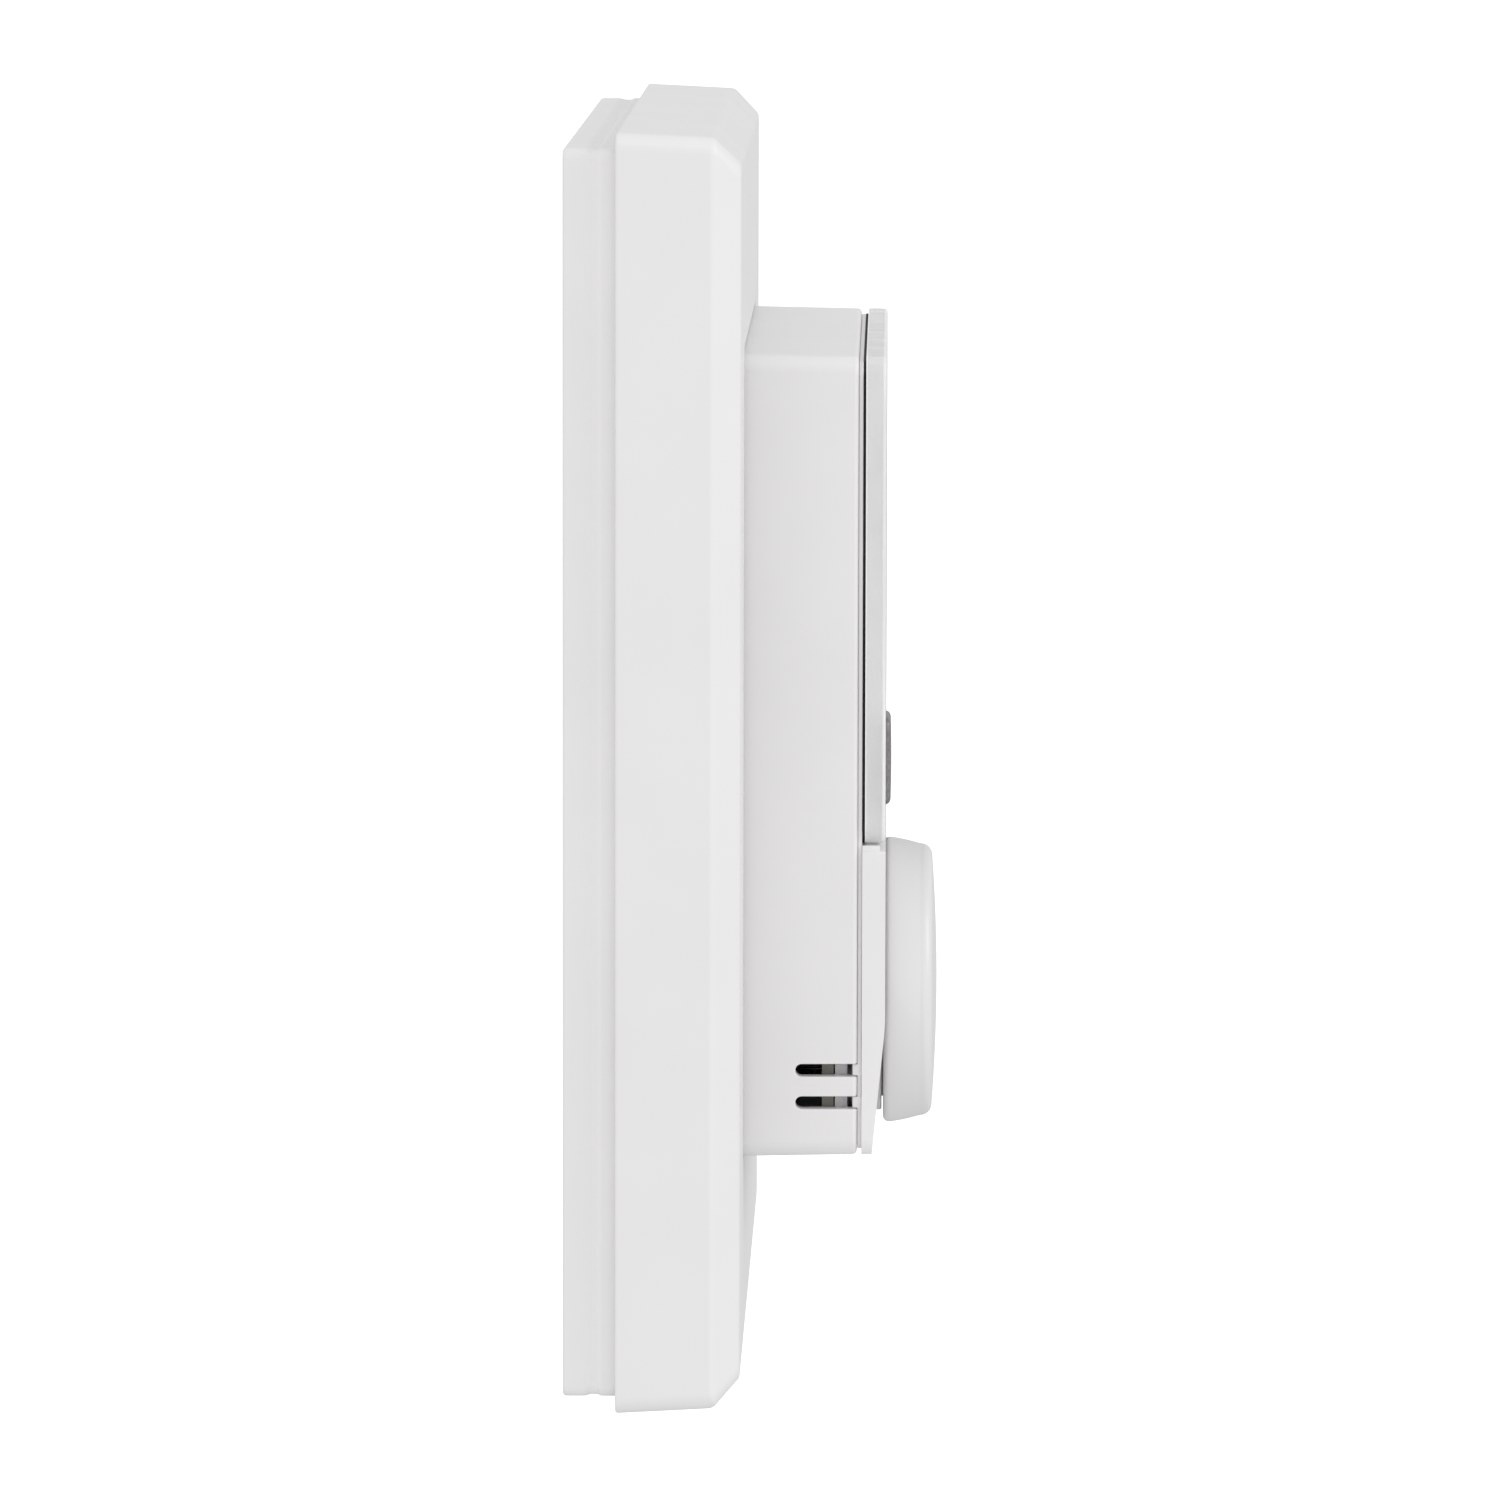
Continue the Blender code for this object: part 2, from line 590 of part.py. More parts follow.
def make_casing():
    back, front = CASING_DEPTHS
    inner = module_square(CASING_INNER_SIDE, 0.6)
    edge = 0.3
    shell = Shape().ring(
        (inner, back),
        (module_square(CASING_BACK_SIDE, MODULE_CORNER), back),
        (module_square(MODULE_SIDE, MODULE_CORNER), front - edge),
        (module_square(MODULE_SIDE - 2 * edge, MODULE_CORNER - edge), front),
        (inner, front))
    ledges = Shape()
    ledge_depths = (REAR_COVER_DEPTHS[1] + REST_GAP, CONTROL_BOARD_DEPTHS[0] - REST_GAP)
    for side in (-1, 1):
        reach = sorted(side * x for x in LEDGE_X)
        for place in (-LEDGE_AT, LEDGE_AT):
            along = (place - LEDGE_HALF, place + LEDGE_HALF)
            ledges.box(reach, ledge_depths, along)
            ledges.box(along, ledge_depths, [MODULE_Z + value for value in reach])
    slots = Shape()
    half = VENT_WIDTH / 2
    for z in VENT_HEIGHTS:
        end = arc((VENT_BACK + half, z), half, 90, 270, 6)
        outline = end + [(front + CUT_OVERRUN, z - half), (front + CUT_OVERRUN, z + half)]
        slots.side_prism(outline, (-29, -25.5))
        slots.side_prism(outline, (25.5, 29))
    make("front_casing", shell, "white_plastic", add=[ledges], cut=[slots])


def make_rear_cover():
    cover = Shape().prism(module_square(BOARD_SIDE - 0.2, 0.8), REAR_COVER_DEPTHS)
    cut_depths = (REAR_COVER_DEPTHS[0] - CUT_OVERRUN, REAR_COVER_DEPTHS[1] + CUT_OVERRUN)
    holes = plug_window(cut_depths)
    for place in both_sides(MODULE_SCREW):
        holes.cylinder(MODULE_SCREW_HOLE, place, cut_depths, steps=12)
    make("rear_cover", cover, "grey_plastic", cut=[holes])
    under_head = REAR_COVER_DEPTHS[0] - REST_GAP
    make_screws("module_screw", both_sides(MODULE_SCREW), 1.85, under_head, under_head - 1.1,
                0.85, 19.4)


def make_module_springs():
    """Bent leaves that grip the support plate's lugs."""
    path = [(24.6, 13.55), (22.75, 13.45), (22.75, 11.4), (23.75, 10.2), (23.1, 8.8)]
    for name, side in (("left", -1), ("right", 1)):
        outline = strip([(side * x, depth) for x, depth in path], 0.35 * side)
        make(f"module_spring_{name}", Shape().level_prism(outline, span(4.0)), "zinc_steel")


def make_control_board():
    board = Shape().prism(module_square(BOARD_SIDE, 0.6, 2), CONTROL_BOARD_DEPTHS)
    cut_depths = (16.0, 19.0)
    holes = Shape().prism(rounded_square(ENCODER_SIDE + 0.6, 0.4, KNOB_AT, 2), cut_depths)
    for place in both_sides(MODULE_SCREW):
        holes.cylinder(MODULE_SCREW_HOLE, place, cut_depths, steps=12)
    make("control_board", board, "dark_board", cut=[holes])
    chip_depths = (15.55, CONTROL_BOARD_DEPTHS[0] - REST_GAP)
    make("microcontroller", Shape().box((2, 12), chip_depths, (-13, -3)), "black_plastic")
    crystal = rounded_rectangle(8, 2.6, 1.2, (18.5, -7.5), 4)
    make("clock_crystal", Shape().prism(crystal, chip_depths), "zinc_steel")
    sensor = rounded_rectangle(1.3, 2.2, 0.5, (-23.9, -17.4), 3)
    make("air_sensor", Shape().prism(sensor, chip_depths), "dark_rubber")


def make_backup_cell():
    centre = (16.0, 5.4)
    radius = 6.25
    profile = [(0, 15.65), (4.9, 15.65), (5.1, 15.85), (radius, 15.85), (radius, 16.7), (0, 16.7)]
    make("backup_cell", Shape().turned(profile, centre, 24), "zinc_steel")
    foot = 16.75
    half = [(6.7, 15.5), (6.7, foot), (8.2, foot), (8.2, foot - 0.25), (6.95, foot - 0.25),
            (6.95, 15.25)]
    outline = [(centre[0] + x, depth) for x, depth in half]
    outline += [(centre[0] - x, depth) for x, depth in half[::-1]]
    make("cell_clip", Shape().level_prism(outline, (centre[1] - 2.0, centre[1] + 2.0)),
         "zinc_steel")


def make_display():
    width, height = LCD_SIZE
    bottom = LCD_Z - height / 2
    holder = Shape().prism(module_square(BOARD_SIDE, 0.6, 2), HOLDER_DEPTHS)
    around = (17, 20)
    holes = Shape().prism(rounded_square(ENCODER_SIDE + 0.6, 0.4, KNOB_AT, 2), around)
    holes.prism(rounded_square(6.6, 0.4, BUTTON_AT, 2), around)
    holes.box(span(20.4), around, (bottom + 0.2, bottom + 2.0))
    holes.box(span(21.4), around, (bottom + 2.6, bottom + height - 0.2))
    for place in both_sides(MODULE_SCREW):
        holes.cylinder(2.1, place, around, steps=16)
    make("display_holder", holder, "light_plastic", cut=[holes])
    strip_depths = (HOLDER_DEPTHS[0], LCD_DEPTHS[0] - FINE_GAP)
    make("contact_strip", Shape().box(span(20), strip_depths, (bottom + 0.5, bottom + 1.7)),
         "dark_rubber")
    panel_z = (bottom + 2.9, bottom + height - 0.5)
    make("backlight_panel", Shape().box(span(21.1), (18.0, 18.85), panel_z), "diffuser")
    glass = rounded_rectangle(width, height, 0.3, (0, LCD_Z), 2)
    make("lcd_panel", Shape().prism(glass, LCD_DEPTHS), "glass")


def make_carrier():
    back, front = CARRIER_DEPTHS
    waist = module_square(BOARD_SIDE + 0.1, 0.6)
    lip = module_square(CARRIER_LIP_SIDE, 0.8)
    carrier = Shape().loft((waist, back), (waist, CARRIER_LIP), (lip, CARRIER_LIP), (lip, front))
    studs = Shape()
    holes = Shape()
    for place in both_sides(MODULE_SCREW):
        studs.cylinder(1.8, place, (18.1, back + 0.3), steps=16)
    around = (18, 21)
    holes.prism(rounded_rectangle(LCD_SIZE[0] + 0.8, LCD_SIZE[1] + 0.8, 0.5, (0, LCD_Z), 2), around)
    holes.prism(rounded_square(8.0, 0.5, BUTTON_AT, 2), around)
    holes.cylinder(4.1, KNOB_AT, around, steps=24)
    tabs = Shape()
    for z in VENT_HEIGHTS:
        for side in (-1, 1):
            tabs.box(sorted(side * x for x in VENT_TAB_X), (back + 0.05, front - 0.03),
                     (z - VENT_TAB / 2, z + VENT_TAB / 2))
    for place in both_sides(MODULE_SCREW):
        holes.cylinder(1.0, place, (17, 19.55), steps=12)
    make("front_carrier", carrier, "white_plastic", add=[studs, tabs], cut=[holes])


def make_lens():
    top = MODULE_Z + MODULE_SIDE / 2
    height = top - LENS_BOTTOM
    middle = (top + LENS_BOTTOM) / 2
    outline = rounded_rectangle(MODULE_SIDE, height, MODULE_CORNER, (0, middle))
    around = (19, 22)
    button_hole = Shape().prism(rounded_square(BUTTON_HOLE, 0.7, BUTTON_AT, 3), around)
    make("display_lens", Shape().prism(outline, LENS_DEPTHS), "clear_acrylic", cut=[button_hole])
    sheet = rounded_rectangle(MODULE_SIDE - 2 * GASKET_INSET, height - 2 * GASKET_INSET,
                              MODULE_CORNER, (0, middle))
    windows = Shape().prism(rounded_square(7.0, 0.5, BUTTON_AT, 2), around)
    screen = rounded_rectangle(LCD_SIZE[0] - 0.4, LCD_SIZE[1] - 0.4, 0.5, (0, LCD_Z), 2)
    windows.prism(screen, around)
    make("lens_gasket", Shape().prism(sheet, GASKET_DEPTHS), "black_foam", cut=[windows])


def make_lower_plate():
    back, front = LOWER_PLATE_DEPTHS
    bottom = MODULE_Z - MODULE_SIDE / 2
    height = LOWER_PLATE_TOP - bottom
    outline = rounded_rectangle(MODULE_SIDE, height, MODULE_CORNER,
                                (0, (LOWER_PLATE_TOP + bottom) / 2))
    drop_below = SLOPE_DROP * (SLOPE_TOP - bottom + 1) / (SLOPE_TOP - bottom)
    slope = Shape().side_prism([(front, SLOPE_TOP), (front + 2, SLOPE_TOP),
                                (front + 2, bottom - 1), (front - drop_below, bottom - 1)],
                               span(30))
    hole, rim = POCKET_RADII
    pocket = Shape().turned([(0, back - 1), (hole, back - 1), (hole, POCKET_FLOOR),
                             (rim, POCKET_FLOOR), (rim, front + 1), (0, front + 1)], KNOB_AT, 48)
    ridge = Shape().box(span(RIDGE_SIDE / 2), (back + 0.01, RIDGE_FRONT),
                        (LOWER_PLATE_TOP - 2, RIDGE_TOP))
    make("lower_plate", Shape().prism(outline, LOWER_PLATE_DEPTHS), "white_plastic", add=[ridge],
         cut=[slope, pocket])


# ---------------------------------------------------------------- controls

def make_button():
    axis = make_axis("button_axis", BUTTON_AT[0], BUTTON_FRONT, BUTTON_AT[1])
    edge = 0.35
    head = rounded_square(BUTTON_SIDE, 0.6, BUTTON_AT, 4)
    crown = rounded_square(BUTTON_SIDE - 2 * edge, 0.6 - edge * 0.5, BUTTON_AT, 4)
    flange = rounded_square(BUTTON_FLANGE, 0.4, BUTTON_AT, 4)
    flange_front = CARRIER_DEPTHS[1]
    shape = Shape().loft((flange, BUTTON_FLANGE_BACK), (flange, flange_front),
                         (head, flange_front), (head, BUTTON_FRONT - edge * 0.6),
                         (crown, BUTTON_FRONT))
    make("menu_button", shape, "silver_paint", axis=axis)
    make("switch_plunger", Shape().cylinder(1.1, BUTTON_AT, SWITCH_PLUNGER_DEPTHS, steps=16),
         "black_plastic", axis=axis)
    body = rounded_square(5.2, 0.4, BUTTON_AT, 2)
    bore = Shape().cylinder(1.35, BUTTON_AT, (17, 20), steps=16)
    make("tact_switch", Shape().prism(body, (HOLDER_DEPTHS[0], SWITCH_FRONT)), "black_plastic",
         cut=[bore])


def knob_outline():
    """The knob cap's outer side from its base to its tip, as (radius, depth) points."""
    dome_rise = KNOB_FRONT - KNOB_RIM - KNOB_RIM_ROUND
    dome_reach = KNOB_RIM_RADIUS - KNOB_RIM_ROUND
    side_start = KNOB_BASE + KNOB_BASE_ROUND
    points = arc((KNOB_RADIUS - KNOB_BASE_ROUND, side_start), KNOB_BASE_ROUND, -90, 0, 3)
    for step in range(1, 4):
        along = step / 4
        narrowing = (KNOB_RADIUS - KNOB_RIM_RADIUS) * along ** KNOB_SIDE_CURVE
        points.append((KNOB_RADIUS - narrowing, side_start + (KNOB_RIM - side_start) * along))
    points += arc((dome_reach, KNOB_RIM), KNOB_RIM_ROUND, 0, 82, 5)
    for step in range(1, 4):
        radius = dome_reach * (1 - step / 4)
        points.append((radius, KNOB_FRONT - dome_rise * (radius / dome_reach) ** 2))
    return points + [(0, KNOB_FRONT)]


def make_knob():
    push = make_axis("push_axis", KNOB_AT[0], ENCODER_DEPTHS[1], KNOB_AT[1])
    turn = make_axis("turn_axis", KNOB_AT[0], KNOB_BASE, KNOB_AT[1], under=push)
    bore_radius = 8.35
    inside = [(0, KNOB_ROOF), (bore_radius - 0.75, KNOB_ROOF), (bore_radius, KNOB_ROOF - 0.6),
              (bore_radius, KNOB_BASE)]
    make("knob_cap", Shape().turned(inside + knob_outline(), KNOB_AT, 48), "white_plastic",
         axis=turn)
    make_knob_core(turn)
    make_shaft(turn)
    make("encoder_plunger", Shape().cylinder(2.9, KNOB_AT, (16.6, 17.6), steps=24),
         "black_plastic", axis=push)


def make_knob_core(axis):
    neck_back = 20.6
    neck_front = KNOB_BASE - FINE_GAP
    web_back, web_front = 22.4, 23.2
    bore = SHAFT_RADIUS + 0.2
    core = [(bore, neck_back), (5.0, neck_back), (5.0, web_back), (7.3, web_back),
            (7.3, neck_back), (NECK_RADIUS, neck_back), (NECK_RADIUS, neck_front), (8.05, neck_front),
            (8.05, web_front), (bore, web_front)]
    key = Shape().box((KNOB_AT[0] + SHAFT_FLAT + 0.3, KNOB_AT[0] + 4.0),
                      (21.2, web_front - FINE_GAP), (KNOB_AT[1] - 2.2, KNOB_AT[1] + 2.2))
    make("knob_core", Shape().turned(core, KNOB_AT, 36, closed=True), "grey_plastic", add=[key],
         axis=axis)


def make_shaft(axis):
    back, front = SHAFT_DEPTHS
    edge = 0.2
    shaft = Shape().turned([(0, back), (SHAFT_RADIUS - edge, back), (SHAFT_RADIUS, back + edge),
                            (SHAFT_RADIUS, front - edge), (SHAFT_RADIUS - edge, front),
                            (0, front)], KNOB_AT, 32)
    flat = Shape().box((KNOB_AT[0] + SHAFT_FLAT, KNOB_AT[0] + 4.0), (20.9, front + CUT_OVERRUN),
                       (KNOB_AT[1] - 4, KNOB_AT[1] + 4))
    make("encoder_shaft", shaft, "zinc_steel", cut=[flat], axis=axis)


def make_encoder_body():
    back, front = ENCODER_DEPTHS
    body = Shape().prism(rounded_square(ENCODER_SIDE, 0.3, KNOB_AT, 2), ENCODER_DEPTHS)
    bushing = Shape().cylinder(3.6, KNOB_AT, (front - 0.5, 19.9), steps=32)
    bore = Shape().cylinder(SHAFT_RADIUS + 0.2, KNOB_AT, (back + 0.6, 21), steps=32)
    make("encoder_body", body, "zinc_steel", add=[bushing], cut=[bore])


def main():
    clear_scene()
    make_back_box()
    make_support_plate()
    make_frame_cover()
    make_power_board()
    make_power_parts()
    make_power_cover()
    make_terminals()
    make_plug()
    make_casing()
    make_rear_cover()
    make_module_springs()
    make_control_board()
    make_backup_cell()
    make_display()
    make_carrier()
    make_lens()
    make_lower_plate()
    make_button()
    make_knob()
    make_encoder_body()


main()
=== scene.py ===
"""Looks of the programmable timer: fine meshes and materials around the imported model.

Lengths are in millimetres and become metres when a mesh is made. X runs right as seen from the
front, Z runs up, and depth counts outwards from the wall, so a depth d lies at y = -d."""

import math

import bmesh
import bpy
from mathutils import Matrix, Vector


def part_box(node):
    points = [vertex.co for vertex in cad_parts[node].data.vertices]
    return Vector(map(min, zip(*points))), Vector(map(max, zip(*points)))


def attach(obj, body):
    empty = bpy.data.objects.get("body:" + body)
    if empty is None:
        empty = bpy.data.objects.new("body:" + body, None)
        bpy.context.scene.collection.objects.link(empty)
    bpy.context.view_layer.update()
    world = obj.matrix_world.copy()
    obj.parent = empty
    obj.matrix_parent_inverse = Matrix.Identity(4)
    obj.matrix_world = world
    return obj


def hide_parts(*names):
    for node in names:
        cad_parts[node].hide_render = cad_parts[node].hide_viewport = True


METRES = 0.001

# Camera: looks at the left side from a little above
CAMERA_PLACE = (-676.13, -21.80, 70.29)
CAMERA_YAW = 0.01484        # turned from +X towards the wall, in radians
CAMERA_PITCH = -0.10741
CAMERA_ROLL = 0.00187
CAMERA_LENS = 232.4
CAMERA_CLIP = (0.05, 100.0)     # in metres
SENSOR_WIDTH = 36.0

# Light: a dome of brightness LEVEL + SLOPE . direction, and soft boxes, in metres, as (name, place,
# size, power)
DOME_LEVEL = 0.866
DOME_SLOPE = (-0.208, 0.092, 0.051)
DOME_COLOUR = (0.998, 0.998, 1.0)
BACKDROP_LEVEL = 1.05       # what the camera sees behind the object
SOFTBOX_COLOUR = (0.97, 0.985, 1.0)
SOFTBOX_AIM = (0, -0.012, 0)
SOFTBOXES = (("key_softbox", (-0.16, -0.72, 0.32), (0.34, 0.42), 1.30),)
FLOOR_LEVEL = -600.0
FLOOR_REACH = 40000.0
FLOOR_THICKNESS = 10.0
FLOOR_TONES = ((0.93, 0.93, 0.93), (0.95, 0.95, 0.95))
FLOOR_GLOW = 0.45

# How meshes are built
CORNER_STEPS = 10          # faces in a rounded corner of an outline
JOIN = 0.01                # how far pieces that touch sink into each other
LEAST_RADIUS = 0.04        # of an outline's corner
EDGE_ROUND = 0.1
EDGE_FACES = 2             # across a rounded edge
EDGE_ANGLE = 50            # edges turned by less than this stay as they are, in degrees

# Wall box. Profiles are (radius, depth) points.
BOX_FLOOR = 2.0
BOX_RIM_SIDE = 81.2
BOX_INNER_SIDE = 78.6
BOX_CORNER = 0.75
BOX_EDGE = 0.3
BOX_BAND_FRONT = 3.56      # the band runs on behind the frame's back edge
BOX_GROOVE = ((0, 2.55), (0.1, 2.3), (0.1, 1.9), (0, 1.5))     # (inset, depth) round the band
BOX_BACK_LAND = 0.9        # width of the flat strip where the back begins
SUPPORT_POSTS = (-30, 30)  # x and z of the posts that carry the support plate
SUPPORT_POST = ((0, 1.5), (4.3, 1.5), (4.2, 2.1), (3.6, 2.9), (3.6, 6.7), (3.4, 6.9), (0, 6.9))
SUPPORT_BORE = ((0, 2.8), (1.35, 2.8), (1.35, 6.6), (1.65, 6.95), (1.65, 8), (0, 8))
POST_DISH = ((0, -1), (4.5, -1), (4.5, 0.25), (0, 0.25))
BOARD_SCREW = (20.6, -10.6)            # x, and z of the lower pair
BOARD_SCREW_TOP = 20.6
BOARD_POST = ((0, 1.5), (3.1, 1.5), (2.9, 2.2), (2.6, 2.5), (2.6, 3.0), (0, 3.0))
BOARD_BORE = ((0, 0.8), (0.95, 0.8), (0.95, 4), (0, 4))
CABLE_HOLE = (22.0, 11.0)
CABLE_HOLE_CORNER = 3.0
CABLE_HOLE_Z = -31.0
WALL_SLOT_X = 33.0
WALL_SLOT = (4.4, 9.0)
WALL_SLOT_SEAT = (8.2, 12.8, 4.09)     # width, height and corner of the hollow round each slot
WALL_SLOT_THROAT = (4.3, 8.9, 2.14)
WALL_SLOT_DEPTHS = (3.0, 1.6, 1.1)
THROUGH_FLOOR = (-1, 3)                # depths that a cutter spans
BACK_GROOVE = (38.6, 0.9, 0.35)        # half side, width and depth
BACK_GROOVE_CORNER = 3.0
KNOCK_OUTS = ((0, 27.5, 8.0), (-18.6, -26.5, 4.6), (18.6, -26.5, 4.6))     # x, z, radius
KNOCK_OUT_GROOVE = (0.6, 0.9)          # width and depth
EJECTOR_MARKS = ((-15, 4), (15, 4), (-15, -14), (15, -14), (0, 14.5), (-24, 14), (24, 14))
EJECTOR_MARK = ((0, -1), (2.2, -1), (2.2, 0.12), (0, 0.12))

# Frame
FRAME_BACK = 3.5
FRAME_SHOULDER = 9.95
FRAME_DRAFT = 0.3
FRAME_CHAMFER = 1.8
FRAME_CORNER = 1.2
FRAME_INNER_SIDE = 82.0
FRAME_ROOF = 10.15
FRAME_OPENING = 55.1
FRAME_OPENING_CORNER = 1.4
FRAME_LEDGE = 8.8          # depth of the step behind the opening
FRAME_LEDGE_WIDTH = 0.9
FRAME_LEDGE_CORNER = 2.6
HOOK_X = (34.6, 36.0, 37.0)            # tip, stem's inner face and stem's outer face
HOOK_BACK = 6.9
HOOK_TIP = 0.7
HOOK_HALF = 4

# Front module
MODULE_SIDE = 54.2
MODULE_Z = -0.25
MODULE_CORNER = 1.15
MODULE_INNER_CORNER = 0.6
MODULE_SCREW = (22.6, -22.9)
CASING_BACK_SIDE = 54.6
CASING_INNER_SIDE = 51.6
CASING_REACH = (25.5, 29)  # x range that a vent cutter passes through
VENT_HEIGHTS = (-21.49, -23.7)
VENT_WIDTH = 0.86
VENT_BACK = 15.27
VENT_TAB = 0.76
VENT_TAB_X = (25.2, 26.76)
CARRIER_BACK = 19.1
CARRIER_LIP_SIDE = 53.4
CARRIER_WAIST = 50.9
LIP_GAP = 0.012            # between the casing's front edge and the lip
LIP_FRONT = 19.76          # the lip meets the lower plate, and the foam under the lens
STUD = ((0, 18.1), (1.7, 18.1), (1.8, 18.2), (1.8, CARRIER_BACK + 0.3), (0, CARRIER_BACK + 0.3))
STUD_BORE = ((0, 17), (1.0, 17), (1.0, 19.5), (0, 19.5))
THROUGH_CARRIER = (18, 21)
THROUGH_LENS = (19, 22)
LCD_SIZE = (46.0, 20.2)
LCD_Z = 14.2
LCD_CORNER = 0.5
LCD_MARGIN = 0.8           # the carrier's opening is this much larger than the display
WINDOW_OVERLAP = 0.4       # the print and the foam cover this much of the display
LENS_SEAT = 0.04           # how far the lens presses into its foam
LENS_EDGE = 0.29
LENS_EDGE_BACK = 0.08
FROSTED_BELOW = 0.97       # lens faces turned further from the front than this are frosted
RIM_ABOVE = 0.2            # frosted faces turned this far to the front are the lens's rim
PRINT_BELOW = 0.005        # the print reaches this far behind the lens's back face
PRINT_ABOVE = 0.06
PRINT_OVERHANG = 0.004
LOWER_PLATE_TOP = -6.6
PLATE_TRIM = 0.9           # cut off above the lower plate, which leaves its upper corners tighter
PLATE_EDGE = 0.16
PLATE_REACH = 30           # cutters across the plate end this far out
RIDGE_SIDE = 53.9
RIDGE_FRONT = 20.93
RIDGE_ROOT = 2             # how far the ridge runs down inside the plate
SLOPE_TOP = -18.0
SLOPE_DROP = 0.88
SLOPE_EASE = 0.12          # share of the slope over which it starts to fall
SLOPE_STEPS = 12
KNOB_POCKET = (9.45, 10.25, 20.7)      # radius through the plate, radius of the pocket, its floor

# Controls
BUTTON_AT = (-14.0, -1.58)
BUTTON_SIDE = 6.05
BUTTON_HOLE = 6.45
BUTTON_CORNER = 0.75
BUTTON_CROWN = 0.05
KNOB_AT = (-14.0, -16.95)
KNOB_RADIUS = 9.82
KNOB_RIM_RADIUS = 9.37
KNOB_RIM = 23.76
KNOB_RIM_ROUND = 0.79
KNOB_RIM_END = 87          # where the rim's rounding meets the dome, in degrees
KNOB_BASE_ROUND = 0.4
KNOB_SIDE_CURVE = 1.38     # exponent of the side's narrowing towards the rim
KNOB_SIDE_STEPS = 16
KNOB_DOME_STEPS = 24
KNOB_ROOF = 23.6
KNOB_HOLLOW = 8.35
NECK_RADIUS = 9.0
NECK_GAP = 0.1             # from the neck's front edge to the cap's base
NECK_INNER = 7.4
CORE_BORE = 3.2
CORE_HUB = 5.0
CORE_SOCKET = 8.05
CORE_ROOF = 22.4
CORE_FRONT = 23.2
CORE_EDGE = 0.1
CORE_KEY = ((2.4, 4.0), (21.2, CORE_FRONT - 0.1), (-2.2, 2.2))     # x, depth and z from the axis

# Display
SEGMENT_DEPTHS = (0.005, 0.03)         # in front of the display glass
DIGIT_LEAN = 0.09
TIME_TEXT = "1230"
TIME_X = (-15.2, -7.8, 2.2, 9.6)
TIME_Z = LCD_Z - 3.6
TIME_DIGIT = (8.8, 4.7, 1.05)          # height, width and thickness
COLON_X = -0.2
COLON_RISES = (2.6, 6.0)
COLON_RADIUS = 0.6
DAY_X = range(-18, 3, 3)
DAY_DIGIT = (1.9, 1.0, 0.28)
DAY_Z = LCD_Z + 6.7
DAY_LINE_X = (-0.3, 1.5)
DAY_LINE_Z = (LCD_Z + 5.95, LCD_Z + 6.2)
WORKING_DAYS = 5
HOUR_X = -19.2
HOUR_STEP = 1.6
HOUR_BAR = 1.25
HOUR_Z = LCD_Z - 8.3
HOUR_HEIGHTS = (0.3, 1.5)              # off and on
HOURS_ON = (*range(6, 9), *range(16, 22))
TICK_HOURS = range(0, 25, 6)
TICK_X = -19.4
TICK_WIDTH = 0.22
TICK_Z = (LCD_Z - 9.2, LCD_Z - 8.6)
SUN_AT = (18.4, LCD_Z + 3.0)
SUN_RADII = (0.7, 1.0)
RAY_RADII = (1.35, 1.95)
RAY_HALF = 0.13
RAYS = 8
MOON_AT = (18.4, LCD_Z - 2.2)
MOON_RADIUS = 1.35
MOON_HORNS = (50, 310)
MOON_BITE = 0.85


# ---- outlines

class Extent:
    """The box of a CAD node in millimetres: x, d (depth) and z, each as (low, high)."""

    def __init__(self, node):
        low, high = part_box(node)
        self.x = (low.x / METRES, high.x / METRES)
        self.d = (-high.y / METRES, -low.y / METRES)
        self.z = (low.z / METRES, high.z / METRES)
        self.centre = ((self.x[0] + self.x[1]) / 2, (self.z[0] + self.z[1]) / 2)
        self.width = self.x[1] - self.x[0]
        self.height = self.z[1] - self.z[0]


def arc(centre, radius, start, end, steps):
    """Points along an arc, its angles in degrees."""
    angles = [math.radians(start + (end - start) * step / steps) for step in range(steps + 1)]
    return [(centre[0] + radius * math.cos(angle), centre[1] + radius * math.sin(angle))
            for angle in angles]


def circle(radius, centre=(0.0, 0.0), steps=64):
    return arc(centre, radius, 0, 360, steps)[:-1]


def rounded_rectangle(width, height, radius, centre=(0.0, 0.0), steps=CORNER_STEPS):
    """Points (x, z) of a rectangle with round corners, anticlockwise."""
    points = []
    for side_x, side_z, start in ((1, 1, 0), (-1, 1, 90), (-1, -1, 180), (1, -1, 270)):
        middle = (centre[0] + side_x * (width / 2 - radius), centre[1] + side_z * (height / 2 - radius))
        points += arc(middle, radius, start, start + 90, steps)
    return points


def softened(points, steps=5):
    """A path of (a, b, radius) corners as (a, b, corner number), each corner rounded to its radius."""
    result = []
    for index, (a, b, radius) in enumerate(points):
        if radius == 0 or index in (0, len(points) - 1):
            result.append((a, b, index))
            continue
        here = Vector((a, b))
        before = Vector(points[index - 1][:2]) - here
        after = Vector(points[index + 1][:2]) - here
        reach = radius / math.tan(before.angle(after) / 2)
        reach = min(reach, before.length * 0.49, after.length * 0.49)
        start = here + before.normalized() * reach
        end = here + after.normalized() * reach
        for step in range(steps + 1):
            t = step / steps
            point = start * (1 - t) ** 2 + here * 2 * t * (1 - t) + end * t ** 2
            result.append((point.x, point.y, index))
    return result


